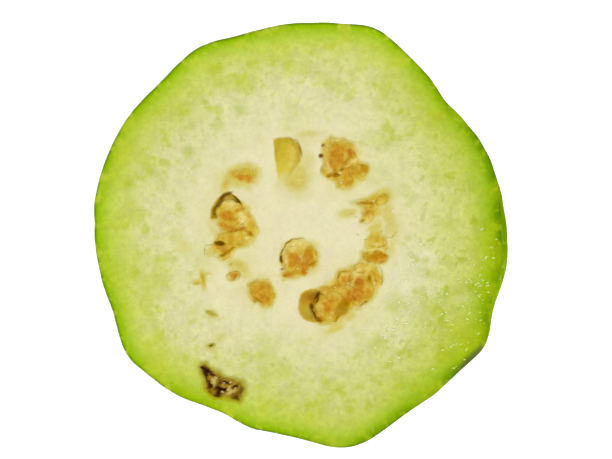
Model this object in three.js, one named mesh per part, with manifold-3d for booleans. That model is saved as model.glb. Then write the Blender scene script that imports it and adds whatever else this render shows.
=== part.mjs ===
// Half a guava, cut across its middle, with its hard seeds standing in their pockets.
//
// Millimetres, +Z up. The half lies on its round side with the cut face up. It rests at z = 0 on
// the small flat spot around its stalk scar, and the Z axis runs through the middle of its outline.

import * as THREE from 'three';
import { mergeVertices } from 'three/addons/utils/BufferGeometryUtils.js';
import Module from 'manifold-3d';

const wasm = await Module();
wasm.setup();

// ---- Driving dimensions ------------------------------------------------------------------------

const CUT_HEIGHT = 34; // the cut face above the flat spot
const MEAN_RADIUS = 33.1; // the cut outline before its shoulders are added
const ROUNDNESS = 2.25; // exponent of the superellipse from rim to stalk end; 2 is an ellipse
const FLAT_DEPTH = 1.2; // how much of the round end the flat spot takes away

const SCAR_RADIUS = 5.2; // the dimple that held the stalk
const SCAR_DEPTH = 3.2;

// The knife left the fruit widest a little below the cut on one side, where the skin swells out.
const SWELL_ANGLE = -8; // degrees
const SWELL_SPREAD = 26; // degrees
const SWELL_WIDTH = 2.4;
const SWELL_DEPTH = 3; // the swell is two thirds grown this far below the cut
const SWELL_TAKEN_FROM_RIM = 1.5;

const SEGMENTS = 80; // around the fruit
const SKIN_RINGS = 17; // from the rim to the flat spot
const SCAR_RINGS = 3;

const SEED_DETAIL = 2; // subdivisions of an icosahedron
const SEED_GAP = 0.35; // between a seed and the wall of its pocket

// Shoulders and dips of the outline, each a smooth bump: angle and spread in degrees, height in mm.
const SHOULDERS = [
  { angle: 14, height: -0.8, spread: 12 },
  { angle: 38, height: -1.5, spread: 14 },
  { angle: 70, height: 1.8, spread: 8 },
  { angle: 86, height: 0.9, spread: 14 },
  { angle: 119, height: 1.1, spread: 9 },
  { angle: 152, height: 0.6, spread: 18 },
  { angle: 200, height: -0.6, spread: 7 },
  { angle: 215, height: 1.0, spread: 8 },
  { angle: 245, height: -1.9, spread: 11 },
  { angle: 264, height: -1.0, spread: 9 },
  { angle: 285, height: 1.7, spread: 8 },
  { angle: 318, height: 0.4, spread: 9 },
  { angle: 330, height: 1.1, spread: 6 },
];

// The seeds that the cut laid bare. x and y are the middle of a seed, half its half-length and
// half-width, turn its direction in degrees, and proud how far its top stands over the cut.
const SEEDS = [
  { x: 5.9, y: 12.6, half: [2.3, 2.1], turn: 70, proud: 0.9 },
  { x: 8.9, y: 10.1, half: [1.7, 1.2], turn: 15, proud: 0.5 },
  { x: -9.4, y: 9.4, half: [1.7, 1.0], turn: 0, proud: 0.1 },
  { x: -11.5, y: 3.3, half: [2.3, 2.2], turn: 60, proud: 0.7 },
  { x: -11.2, y: -0.6, half: [2.2, 1.2], turn: 5, proud: 0.4 },
  { x: -13.2, y: -2.9, half: [1.0, 0.7], turn: 30, proud: 0.1 },
  { x: -10.9, y: -6.6, half: [1.1, 0.7], turn: 20, proud: 0.2 },
  { x: -6.3, y: -9.3, half: [2.2, 1.6], turn: -45, proud: 0.5 },
  { x: -1.5, y: -3.9, half: [2.3, 1.4], turn: 80, proud: 0.8 },
  { x: 1.4, y: -3.5, half: [1.7, 1.0], turn: 100, proud: 0.5 },
  { x: 4.5, y: -11.5, half: [2.7, 2.4], turn: 45, proud: 0.8 },
  { x: 6.7, y: -7.1, half: [1.3, 1.0], turn: 70, proud: 0.4 },
  { x: 9.7, y: -8.8, half: [2.2, 1.8], turn: 75, proud: 0.9 },
  { x: 12.2, y: -6.5, half: [1.5, 0.6], turn: 95, proud: 0.2 },
  { x: 9.3, y: -5.4, half: [1.1, 0.8], turn: 10, proud: 0.3 },
  { x: 11.7, y: -3.6, half: [1.9, 1.0], turn: -3, proud: 0.3 },
  { x: 12.1, y: -1.3, half: [1.5, 0.8], turn: 5, proud: 0.2 },
  { x: 10.5, y: 2.7, half: [1.1, 0.7], turn: 50, proud: 0.2 },
  { x: 10.0, y: 5.0, half: [1.4, 0.6], turn: -15, proud: 0.1 },
  { x: 12.8, y: 5.6, half: [1.0, 0.7], turn: 35, proud: 0.1 },
  { x: 14.2, y: 0.6, half: [1.2, 0.9], turn: 70, proud: 0.1 },
];

// Hollows with no seed in them: a lost seed's teardrop pocket, and the open crescents where the
// pulp has drawn away from a seed. depth is how far each one reaches below the cut.
const HOLLOWS = [
  { x: -2.3, y: 13.3, half: [2.3, 2.1], turn: 0, depth: 3.2 },
  { x: -3.0, y: 10.3, half: [2.4, 1.2], turn: 100, depth: 1.6 },
  { x: -12.3, y: 4.2, half: [2.6, 2.3], turn: 30, depth: 2.4 },
  { x: 1.3, y: -11.5, half: [2.6, 2.0], turn: 100, depth: 2.8 },
  { x: -2.0, y: -3.3, half: [2.2, 1.7], turn: 60, depth: 2.0 },
];

// ---- Helpers -----------------------------------------------------------------------------------

// A smooth bump of height 1 around an angle; all three values in degrees.
function bump(angle, middle, spread) {
  const apart = THREE.MathUtils.euclideanModulo(angle - middle + 180, 360) - 180;
  return Math.exp(-((apart / spread) ** 2));
}

function asSolid(geometry) {
  const bare = geometry.clone();
  bare.deleteAttribute('normal');
  bare.deleteAttribute('uv');
  const merged = mergeVertices(bare);
  return new wasm.Manifold(new wasm.Mesh({
    numProp: 3,
    vertProperties: Float32Array.from(merged.attributes.position.array),
    triVerts: Uint32Array.from(merged.index.array),
  }));
}

function asGeometry(solid) {
  const mesh = solid.getMesh();
  const geometry = new THREE.BufferGeometry();
  geometry.setAttribute('position', new THREE.BufferAttribute(mesh.vertProperties, 3));
  geometry.setIndex(new THREE.BufferAttribute(mesh.triVerts, 1));
  geometry.computeVertexNormals();
  return geometry;
}

// ---- The fruit ---------------------------------------------------------------------------------

// Radius of the cut face's outline.
function rimRadius(angle) {
  let radius = MEAN_RADIUS;
  for (const shoulder of SHOULDERS) {
    radius += shoulder.height * bump(angle, shoulder.angle, shoulder.spread);
  }
  return radius - SWELL_TAKEN_FROM_RIM * bump(angle, SWELL_ANGLE, SWELL_SPREAD);
}

// Height of the round side before the flat spot is cut: 0 at the pole, with the stalk's dimple.
function skinHeight(radius) {
  const reach = Math.min(radius / MEAN_RADIUS, 1);
  const fullDepth = CUT_HEIGHT + FLAT_DEPTH;
  const depth = fullDepth * (1 - reach ** ROUNDNESS) ** (1 / ROUNDNESS);
  const inScar = Math.min(radius / SCAR_RADIUS, 1);
  return fullDepth - depth + SCAR_DEPTH * 0.5 * (1 + Math.cos(Math.PI * inScar));
}

// Half-section of the round fruit, from the stalk scar out to the rim and back across the cut.
function profile() {
  const points = [];
  for (let ring = 0; ring <= SCAR_RINGS; ring += 1) {
    const radius = SCAR_RADIUS * ring / SCAR_RINGS;
    points.push(new THREE.Vector2(radius, skinHeight(radius)));
  }
  const scarEdge = Math.acos((SCAR_RADIUS / MEAN_RADIUS) ** (ROUNDNESS / 2));
  for (let ring = 1; ring <= SKIN_RINGS; ring += 1) {
    const turn = scarEdge * (1 - ring / SKIN_RINGS);
    const radius = MEAN_RADIUS * Math.cos(turn) ** (2 / ROUNDNESS);
    points.push(new THREE.Vector2(radius, skinHeight(radius)));
  }
  points.push(new THREE.Vector2(0, CUT_HEIGHT + FLAT_DEPTH));
  return points;
}

// Gives the round body its shoulders, strongest at the cut and gone at the stalk, and its swell.
function shapeBody(geometry) {
  const position = geometry.attributes.position;
  const fullDepth = CUT_HEIGHT + FLAT_DEPTH;
  const point = new THREE.Vector3();
  for (let index = 0; index < position.count; index += 1) {
    point.fromBufferAttribute(position, index);
    const radius = Math.hypot(point.x, point.y);
    const angle = THREE.MathUtils.radToDeg(Math.atan2(point.y, point.x));
    const depth = fullDepth - point.z;
    const upper = 1 - (depth / fullDepth) ** 2;
    const shoulders = upper * (rimRadius(angle) / MEAN_RADIUS - 1);
    const grown = 1 - Math.exp(-depth / SWELL_DEPTH);
    const swell = SWELL_WIDTH * bump(angle, SWELL_ANGLE, SWELL_SPREAD) * grown * upper;
    const scale = 1 + shoulders + swell / Math.max(radius, SCAR_RADIUS);
    position.setXYZ(index, point.x * scale, point.y * scale, point.z);
  }
  geometry.translate(0, 0, -FLAT_DEPTH);
}

function fruitBody() {
  const geometry = new THREE.LatheGeometry(profile(), SEGMENTS);
  geometry.rotateX(Math.PI / 2);
  shapeBody(geometry);
  return geometry;
}

// ---- The seeds ---------------------------------------------------------------------------------

// Thickness is half the height of a seed; a seed is a little flatter than it is wide.
function seedThickness(seed) {
  return 0.3 + 0.8 * seed.half[1];
}

// An ellipsoid, slightly blunter at one end, as a guava's seeds are. grow widens it all round.
function seedGeometry(seed, grow) {
  const geometry = new THREE.IcosahedronGeometry(1, SEED_DETAIL);
  const position = geometry.attributes.position;
  for (let index = 0; index < position.count; index += 1) {
    const blunt = 1 + 0.12 * position.getX(index);
    position.setY(index, position.getY(index) * blunt);
  }
  const thickness = seedThickness(seed);
  geometry.scale(seed.half[0] + grow, seed.half[1] + grow, thickness + grow);
  geometry.rotateZ(THREE.MathUtils.degToRad(seed.turn));
  geometry.translate(seed.x, seed.y, CUT_HEIGHT + seed.proud - thickness);
  return geometry;
}

function hollowGeometry(hollow) {
  const geometry = new THREE.IcosahedronGeometry(1, SEED_DETAIL);
  geometry.scale(hollow.half[0], hollow.half[1], hollow.depth);
  geometry.rotateZ(THREE.MathUtils.degToRad(hollow.turn));
  geometry.translate(hollow.x, hollow.y, CUT_HEIGHT);
  return geometry;
}

// ---- The pieces --------------------------------------------------------------------------------

const fleshMaterial = new THREE.MeshStandardMaterial({ color: 0xd3d87e, roughness: 0.45, metalness: 0 });
const seedMaterial = new THREE.MeshStandardMaterial({ color: 0xcd9a3a, roughness: 0.5, metalness: 0 });

// Skin, flesh and core grew as one piece, and the knife left them as one.
function guavaHalf() {
  const belowFloor = new THREE.BoxGeometry(3 * MEAN_RADIUS, 3 * MEAN_RADIUS, 20);
  belowFloor.translate(0, 0, -10);
  let solid = asSolid(fruitBody()).subtract(asSolid(belowFloor));
  for (const seed of SEEDS) {
    solid = solid.subtract(asSolid(seedGeometry(seed, SEED_GAP)));
  }
  for (const hollow of HOLLOWS) {
    solid = solid.subtract(asSolid(hollowGeometry(hollow)));
  }
  const mesh = new THREE.Mesh(asGeometry(solid), fleshMaterial);
  mesh.name = 'guava_half';
  return mesh;
}

function seedMesh(seed, index) {
  const mesh = new THREE.Mesh(asGeometry(asSolid(seedGeometry(seed, 0))), seedMaterial);
  mesh.name = `seed_${String(index + 1).padStart(2, '0')}`;
  return mesh;
}

const guava = new THREE.Group();
const half = guavaHalf();
guava.add(half);
SEEDS.forEach((seed, index) => guava.add(seedMesh(seed, index)));

// The Z axis runs through the middle of the fruit's own box.
half.geometry.computeBoundingBox();
const middle = half.geometry.boundingBox.getCenter(new THREE.Vector3());
guava.position.set(-middle.x, -middle.y, 0);

export default guava;
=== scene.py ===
"""Half a guava, cut across its middle: its flesh, skin, seeds, juice and scab around the frame."""

import math

import bpy
import numpy as np
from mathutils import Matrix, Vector
from mathutils.bvhtree import BVHTree


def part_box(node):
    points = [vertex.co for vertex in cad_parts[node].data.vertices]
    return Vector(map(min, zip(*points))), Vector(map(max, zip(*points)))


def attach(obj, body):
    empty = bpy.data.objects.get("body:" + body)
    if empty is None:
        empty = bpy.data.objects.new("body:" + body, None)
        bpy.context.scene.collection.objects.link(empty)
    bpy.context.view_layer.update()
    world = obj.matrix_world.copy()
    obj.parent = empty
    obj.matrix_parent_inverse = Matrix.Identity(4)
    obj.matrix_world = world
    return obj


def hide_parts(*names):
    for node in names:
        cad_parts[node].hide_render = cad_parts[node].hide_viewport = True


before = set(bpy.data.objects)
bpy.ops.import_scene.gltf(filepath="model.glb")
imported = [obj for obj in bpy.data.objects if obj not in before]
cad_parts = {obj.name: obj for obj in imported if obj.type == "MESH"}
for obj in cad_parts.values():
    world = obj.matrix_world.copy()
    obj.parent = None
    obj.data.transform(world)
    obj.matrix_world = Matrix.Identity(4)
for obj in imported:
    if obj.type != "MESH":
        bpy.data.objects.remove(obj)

bl_info = {
    "name": "Guava Half",
    "version": (1, 0, 0),
    "blender": (4, 5, 0),
    "location": "View3D > Sidebar > Guava",
    "description": "Builds a cut guava half with its seeds, pulp, skin and stage",
    "category": "Add Mesh",
}

# Shapes are worked out in millimetres and written to meshes in metres.
MM = 0.001
FRUIT = "guava_half"
BODY = "root"
SEED_NODES = sorted(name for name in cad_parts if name.startswith("seed_"))
CUT_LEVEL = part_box(FRUIT)[1].z / MM
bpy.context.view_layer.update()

NOISE_CELLS = 32
TAU = 2 * math.pi


# ---- Small tools -------------------------------------------------------------------------------


def smooth(low, high, value):
    """0 below low, 1 above high, and an easy curve between."""
    part = np.clip((value - low) / (high - low), 0, 1)
    return part * part * (3 - 2 * part)


def srgb(red, green, blue):
    """A display colour, 0 to 255 a channel, as the linear RGBA that a shader takes."""
    def linear(channel):
        value = channel / 255
        return value / 12.92 if value <= 0.04045 else ((value + 0.055) / 1.055) ** 2.4
    return (linear(red), linear(green), linear(blue), 1.0)


class NoiseField:
    """Smooth noise between about -1 and 1, the same on every run."""

    def __init__(self, seed):
        generator = np.random.default_rng(seed)
        self.table = generator.uniform(-1, 1, (NOISE_CELLS,) * 3)

    def layer(self, points):
        cell = np.floor(points).astype(int)
        part = points - cell
        part = part * part * (3 - 2 * part)
        total = np.zeros(len(points))
        for corner in range(8):
            step = np.array([corner & 1, corner >> 1 & 1, corner >> 2 & 1])
            index = (cell + step) % NOISE_CELLS
            weight = np.where(step, part, 1 - part).prod(axis=1)
            total += weight * self.table[index[:, 0], index[:, 1], index[:, 2]]
        return total

    def at(self, points, size, octaves=3):
        """Noise whose largest lumps are about size across."""
        total = np.zeros(len(points))
        strength = 1.0
        for octave in range(octaves):
            total += strength * self.layer(points * 2 ** octave / size + 7.3 * octave)
            strength *= 0.5
        return total


def flat_points(x, y):
    return np.column_stack([x, y, np.zeros(len(x))])


def polygon_distance(x, y, corners):
    """Distance to a closed outline, negative inside it."""
    nearest = np.full(len(x), np.inf)
    inside = np.zeros(len(x), bool)
    for (ax, ay), (bx, by) in zip(corners, corners[1:] + corners[:1]):
        ex, ey = bx - ax, by - ay
        along = np.clip(((x - ax) * ex + (y - ay) * ey) / (ex * ex + ey * ey), 0, 1)
        nearest = np.minimum(nearest, np.hypot(x - ax - along * ex, y - ay - along * ey))
        crosses = (ay > y) != (by > y)
        if ey:
            inside ^= crosses & (x < ax + ex * (y - ay) / ey)
    return np.where(inside, -nearest, nearest)


def ellipse_reach(x, y, oval):
    """1 on the edge of a soft oval, below 1 inside it."""
    turn = math.radians(oval["turn"])
    dx, dy = x - oval["x"], y - oval["y"]
    along = (dx * math.cos(turn) + dy * math.sin(turn)) / oval["half"][0]
    across = (dy * math.cos(turn) - dx * math.sin(turn)) / oval["half"][1]
    return np.hypot(along, across)


def spot(x, y, along, across, turn, strength):
    """A soft oval: its middle, two half-widths, direction in degrees and strength."""
    return {"x": x, "y": y, "half": (along, across), "turn": turn, "strength": strength}


def spots(*rows):
    return [spot(*row) for row in rows]


def mesh_object(name, points, faces, attributes):
    """A new object whose mesh has these points, in millimetres, and these float attributes."""
    mesh = bpy.data.meshes.new(name)
    mesh.from_pydata((np.asarray(points) * MM).tolist(), [], faces)
    for label, values in attributes.items():
        layer = mesh.attributes.new(label, "FLOAT", "POINT")
        layer.data.foreach_set("value", np.asarray(values, np.float32))
    mesh.polygons.foreach_set("use_smooth", [True] * len(mesh.polygons))
    mesh.validate()
    mesh.update()
    made = bpy.data.objects.new(name, mesh)
    bpy.context.scene.collection.objects.link(made)
    return made


def settle(piece, nodes):
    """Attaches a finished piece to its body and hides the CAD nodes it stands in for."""
    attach(piece, BODY)
    if nodes:
        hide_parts(*nodes)


def apply_tree(name, carrier, tree, inputs):
    """Runs a Geometry Nodes tree on carrier and returns its result as a plain mesh object."""
    modifier = carrier.modifiers.new("grow", "NODES")
    modifier.node_group = tree
    identifiers = {item.name: item.identifier for item in tree.interface.items_tree
                   if item.item_type == "SOCKET" and item.in_out == "INPUT"}
    for label, value in inputs.items():
        modifier[identifiers[label]] = value
    graph = bpy.context.evaluated_depsgraph_get()
    result = carrier.evaluated_get(graph)
    mesh = bpy.data.meshes.new_from_object(result, depsgraph=graph)
    mesh.name = name
    carrier.modifiers.remove(modifier)
    made = bpy.data.objects.new(name, mesh)
    bpy.context.scene.collection.objects.link(made)
    return made


# ---- What the frame says -----------------------------------------------------------------------


def node_points(name):
    """A node's own points in millimetres."""
    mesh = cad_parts[name].data
    flat = np.empty(len(mesh.vertices) * 3)
    mesh.vertices.foreach_get("co", flat)
    return flat.reshape(-1, 3) / MM


def read_seed(name):
    """Middle, half-length, half-width, direction and heights of a seed, from its CAD solid."""
    points = node_points(name)
    middle = points.mean(axis=0)
    spread, axes = np.linalg.eigh(np.cov((points - middle)[:, :2].T))
    half = np.sqrt(3 * spread)
    return {
        "name": name,
        "x": middle[0],
        "y": middle[1],
        "half": (half[1], half[0]),
        "turn": math.degrees(math.atan2(axes[1, 1], axes[0, 1])),
        "top": points[:, 2].max(),
        "bottom": points[:, 2].min(),
    }


def fruit_surface():
    """The CAD fruit as a tree that rays can be cast at, in millimetres."""
    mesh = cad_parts[FRUIT].data
    corners = [vertex.co / MM for vertex in mesh.vertices]
    return BVHTree.FromPolygons(corners, [tuple(face.vertices) for face in mesh.polygons])


SEEDS = [read_seed(name) for name in SEED_NODES]
SURFACE = fruit_surface()


RAY_START = 80.0  # well outside the fruit


def direction_of(around, up):
    """The direction that is around round and up above the level, both in radians."""
    level = math.cos(up)
    return Vector((level * math.cos(around), level * math.sin(around), math.sin(up)))


def surface_reach(angle, drop):
    """How far the fruit's outside lies from the middle of its cut, in a direction that is angle
    round and drop below the cut, both in radians."""
    away = direction_of(angle, -drop)
    start = Vector((0, 0, CUT_LEVEL)) + away * RAY_START
    hit = SURFACE.ray_cast(start, -away, RAY_START)
    if hit[0] is None:
        raise RuntimeError("no skin was found in one direction")
    return RAY_START - hit[3]


# ---- Where things are on the cut face, in millimetres ------------------------------------------

# Outlines of the open hollows: a lost seed's pocket, and gaps where pulp has drawn off a seed.
LOST_SEED = [(-4.6, 15.2), (-3.6, 15.5), (-1.8, 15.4), (-0.7, 14.6), (-0.1, 13.2), (-0.3, 11.6),
             (-1.2, 10.2), (-1.8, 8.6), (-2.6, 7.6), (-3.7, 8.1), (-4.2, 11.0)]
WEST_CRESCENT = [(-14.8, 2.4), (-14.5, 4.2), (-13.3, 5.8), (-11.7, 6.8), (-10.6, 6.0), (-9.5, 4.4),
                 (-9.9, 3.6), (-12.0, 2.4)]
SOUTH_CRESCENT = [(3.2, -9.0), (2.3, -8.7), (1.3, -8.75), (0.5, -9.1), (-0.15, -9.8),
                  (-0.55, -10.8), (-0.7, -11.8), (-0.45, -12.8), (0.2, -13.55), (1.1, -14.0),
                  (2.2, -14.2), (3.4, -13.9), (4.2, -11.2)]
SCAB = [(-16.5, -21.2), (-15.5, -21.1), (-14.3, -21.7), (-12.6, -22.8), (-10.8, -23.6),
        (-9.0, -24.6), (-9.8, -25.3), (-10.1, -26.8), (-11.2, -26.4), (-12.4, -25.8),
        (-13.6, -26.0), (-14.9, -25.0), (-15.5, -23.4), (-15.9, -22.2)]

# Small olive and corky specks: near the scab, up the left side and on a pulp strand.
SCAB_SPECKS = spots(
    (-14.45, -17.75, 0.6, 0.36, 18, 0.92), (-14.5, -18.1, 1.0, 0.8, 0, 0.35),
    (-14.3, -12.8, 1.3, 0.42, -28, 0.7), (-14.9, -12.5, 0.5, 0.3, -28, 0.86),
    (-15.75, -7.2, 0.34, 1.2, 5, 0.55), (-16.8, -7.8, 0.7, 0.35, 0, 0.45),
    (-13.6, -14.9, 0.6, 0.3, -20, 0.3), (13.2, 6.0, 0.9, 0.6, 25, 0.5),
    (8.4, 5.3, 1.4, 0.35, 0, 0.35))

# Where the scab is pitted almost black, and where pale cork stands in it.
SCAB_PITS = spots(
    (-15.8, -21.5, 0.9, 0.28, -28, 0.9), (-15.35, -22.5, 0.25, 0.9, 8, 0.9),
    (-14.7, -22.2, 1.0, 0.24, -40, 0.8), (-14.4, -17.75, 0.4, 0.2, 18, 0.6),
    (-14.4, -12.7, 0.7, 0.2, -28, 0.4), (-14.6, -24.3, 0.45, 0.4, 0, 1.0),
    (-15.1, -23.6, 0.3, 0.4, 0, 0.8), (-13.2, -24.7, 0.9, 0.3, -8, 1.0),
    (-13.3, -25.3, 0.3, 0.7, -15, 0.9), (-12.0, -23.9, 0.6, 0.32, -25, 1.0),
    (-12.3, -24.9, 0.35, 0.4, 0, 0.9), (-10.8, -24.5, 0.55, 0.25, 30, 0.85),
    (-13.7, -25.9, 0.5, 0.25, 30, 0.5), (-13.3, -23.4, 0.3, 0.6, 0, 0.5),
    (-10.8, -26.2, 0.7, 0.8, 0, 0.35))
SCAB_CORK = spots(
    (-14.0, -23.6, 0.7, 0.5, 20, 0.9), (-14.0, -24.4, 0.4, 0.3, 0, 0.5),
    (-12.6, -24.3, 0.4, 0.35, 0, 0.9), (-11.7, -24.7, 0.35, 0.7, 0, 0.8),
    (-11.2, -25.2, 0.7, 0.3, 30, 0.6), (-12.6, -25.4, 0.4, 0.3, 0, 0.6))

# Outlines of the golden pulp that holds the seeds, each with its strength and how soft its edge is.
PULP_MASSES = [
    (0.95, 0.55, [(3.3, 14.8), (4.6, 15.5), (6.4, 15.4), (7.6, 14.8), (8.4, 13.6), (9.2, 11.9),
                  (10.4, 11.3), (10.6, 10.1), (10.0, 9.0), (8.9, 8.5), (8.0, 7.5), (6.9, 7.1),
                  (5.7, 7.3), (5.5, 8.5), (4.0, 8.7), (2.9, 9.6), (3.5, 11.2), (3.3, 12.4)]),
    (0.85, 1.1, [(-12.9, 7.5), (-12.6, 9.3), (-11.4, 10.4), (-9.8, 10.8), (-8.3, 11.0),
                 (-7.0, 10.4), (-6.8, 9.2), (-7.4, 8.2), (-8.4, 7.8), (-8.6, 7.0), (-9.5, 7.7),
                 (-11.4, 8.1), (-12.2, 7.0)]),
    (0.95, 0.55, [(-14.3, 2.6), (-13.5, 4.6), (-11.6, 5.7), (-9.9, 4.7), (-8.8, 4.2), (-7.7, 3.2),
                 (-7.6, 1.6), (-7.4, 0.4), (-7.9, -0.8), (-8.7, -2.1), (-10.2, -2.4),
                 (-11.0, -3.3), (-11.8, -4.4), (-13.0, -4.2), (-14.3, -3.2), (-15.2, -2.6),
                 (-14.2, -1.5), (-12.9, -0.5), (-12.7, 0.5), (-13.8, 1.3)]),
    (0.95, 0.6, [(-3.3, -3.6), (-2.8, -2.0), (-1.8, -1.0), (0.0, -0.9), (1.6, -1.8), (2.5, -3.2),
                  (2.6, -4.2), (1.6, -5.0), (0.9, -6.2), (0.1, -7.0), (-1.2, -7.3), (-2.9, -7.3),
                  (-3.4, -6.7), (-3.0, -5.6)]),
    (0.95, 0.45, [(-8.3, -9.4), (-8.2, -8.3), (-7.6, -7.6), (-6.0, -7.5), (-5.0, -8.2),
                  (-4.4, -9.1), (-4.8, -10.2), (-5.6, -11.2), (-7.4, -11.2), (-7.7, -10.2)]),
    (0.97, 0.5, [(2.4, -8.7), (4.4, -8.0), (5.4, -7.2), (5.8, -6.0), (6.9, -5.6), (8.3, -5.0),
                 (10.0, -4.7), (12.2, -5.1), (12.9, -6.4), (12.8, -7.8), (11.8, -8.6),
                 (11.2, -10.0), (9.8, -11.1), (8.2, -11.4), (7.6, -12.4), (6.7, -13.4),
                 (5.6, -14.3), (4.6, -14.8), (2.8, -14.3), (1.9, -13.0), (1.8, -11.9),
                 (2.6, -10.2)]),
    (0.97, 0.4, [(9.7, -2.8), (11.0, -2.5), (13.1, -2.6), (13.7, -3.3), (13.6, -4.6),
                  (12.4, -4.8), (11.1, -4.7), (10.4, -4.1), (9.8, -4.0)]),
    (0.95, 0.8, [(10.4, -2.8), (10.3, -0.6), (10.9, 0.6), (12.4, 0.2), (13.5, -0.4), (13.8, -2.8)]),
    (0.9, 0.8, [(8.7, 5.2), (11.0, 5.2), (12.0, 6.1), (13.2, 6.4), (13.8, 5.4), (12.9, 4.2),
                 (12.2, 2.9), (11.2, 2.4), (10.2, 2.2), (9.4, 2.1), (9.9, 3.4), (9.8, 4.6)]),
]

# Thinner golden smears. Each spot has a middle, two half-widths, a direction and a strength.
PULP = spots(
    (1.2, 16.0, 2.2, 0.7, 5, 0.42), (7.6, 7.6, 2.0, 0.8, 20, 0.5), (-1.2, 9.0, 2.6, 2.6, -30, 0.62),
    (1.0, 11.0, 1.5, 2.8, 5, 0.36), (-12.3, 7.2, 0.8, 1.4, -25, 0.5),
    (-14.2, 0.7, 1.0, 1.6, 15, 0.35), (-10.4, -5.0, 2.0, 1.3, -20, 0.6),
    (-9.4, -6.4, 2.2, 1.2, -15, 0.4), (-11.0, -6.6, 1.2, 0.9, 20, 0.85),
    (-8.0, -8.6, 1.4, 2.2, 0, 0.35), (-6.0, -6.8, 2.0, 0.6, 0, 0.3), (1.6, -5.6, 1.6, 1.2, 40, 0.4),
    (2.0, -2.2, 1.2, 1.2, 0, 0.45), (5.2, -15.2, 1.9, 0.7, 22, 0.6),
    (7.6, -13.0, 0.8, 1.2, -35, 0.5), (8.8, -11.9, 1.2, 0.5, 10, 0.45),
    (4.3, -7.6, 1.4, 0.5, 20, 0.4), (14.2, -2.2, 1.0, 2.0, 0, 0.42), (14.2, 1.4, 1.7, 3.0, 8, 0.42),
    (13.4, 4.4, 1.3, 2.2, 20, 0.5), (11.9, 1.2, 1.8, 1.8, 0, 0.4), (12.8, 5.6, 1.6, 1.2, 30, 0.9),
    (11.6, 5.4, 2.6, 0.9, 14, 0.85), (13.9, 2.6, 1.2, 2.4, 12, 0.5), (11.5, 0.9, 1.4, 0.5, 18, 0.6),
    (7.3, 3.4, 1.8, 0.9, 15, 0.5), (8.9, 5.0, 1.6, 0.5, 0, 0.4), (-15.7, -7.3, 0.45, 1.4, 4, 0.95),
    (-16.7, -7.7, 0.8, 0.5, 0, 0.75), (-15.2, -6.3, 0.8, 0.3, 0, 0.6),
    (-14.2, -12.9, 1.4, 0.8, -30, 0.5), (-14.4, -17.9, 1.0, 0.9, 0, 0.35),
    (-12.9, -16.4, 1.6, 0.8, 10, 0.3), (-14.8, -2.9, 0.9, 0.9, 0, 0.55),
    (-18.7, -2.0, 1.1, 1.1, 0, 0.3), (0.8, 15.4, 3.0, 1.4, 0, 0.26), (-0.8, 6.8, 3.4, 1.8, 0, 0.24),
    (-12.4, 8.6, 2.2, 2.6, -25, 0.3), (-10.2, -4.8, 3.4, 2.4, -20, 0.3),
    (13.0, 0.8, 3.0, 5.0, 0, 0.32), (-15.6, -5.0, 1.4, 4.0, 0, 0.18),
    (4.8, -15.4, 3.0, 1.6, 20, 0.26), (6.8, 9.6, 4.6, 4.6, 0, 0.26),
    (-7.2, -9.0, 4.0, 3.4, 0, 0.26), (-11.4, 1.0, 4.8, 6.0, 0, 0.26),
    (-0.3, -4.6, 4.2, 4.2, 0, 0.16), (7.2, -10.0, 6.0, 6.0, 0, 0.26))

# The pale shell of a seed and the palest lumps of pulp, with a painted glint and a painted lit edge
# on the east seeds.
PALE = spots(
    (3.9, 13.8, 0.6, 0.9, 0, 0.75), (4.2, 10.7, 0.5, 1.5, 15, 0.75),
    (8.7, 13.2, 0.45, 1.5, 25, 0.6), (7.9, 11.5, 1.4, 0.32, 32, 0.75),
    (5.6, 15.0, 1.4, 0.35, -5, 0.4), (-11.7, 4.7, 1.4, 0.75, 0, 0.75),
    (-9.4, 2.5, 0.7, 1.2, 0, 0.9), (-13.3, 2.2, 0.5, 0.8, 0, 0.5),
    (-11.7, -3.6, 1.3, 0.28, 40, 0.95), (-8.9, -0.7, 0.45, 0.3, 0, 0.8),
    (-8.5, 8.0, 0.7, 0.4, 20, 0.5), (-2.55, -3.7, 0.34, 1.7, 0, 0.95),
    (-1.0, -1.9, 1.6, 0.8, 5, 1.0), (-0.2, -3.6, 0.3, 0.9, -10, 0.3),
    (5.0, -12.4, 0.8, 0.6, 0, 0.35), (5.2, -9.8, 1.5, 0.9, 15, 0.2),
    (2.8, -11.6, 0.5, 1.4, 10, 0.4), (8.9, -6.2, 1.0, 1.0, 0, 1.0), (7.0, -6.4, 0.9, 0.3, 10, 0.65),
    (7.7, -8.0, 0.55, 0.4, 0, 0.7), (4.7, -13.5, 0.35, 0.22, 0, 1.0), (9.9, -6.0, 1.0, 0.7, 0, 0.6),
    (11.8, -8.2, 0.5, 0.4, 0, 0.8), (6.4, -14.0, 0.6, 0.5, 40, 0.55),
    # The first two spots here are painted highlights: a glint and the lit upper edge of a seed.
    (12.0, -1.6, 0.6, 0.4, 0, 0.8), (11.7, -2.45, 1.6, 0.16, 4, 0.6), (10.7, 2.3, 0.7, 0.6, 0, 0.5),
    (-1.3, 12.4, 0.9, 2.2, 10, 0.35))

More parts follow.
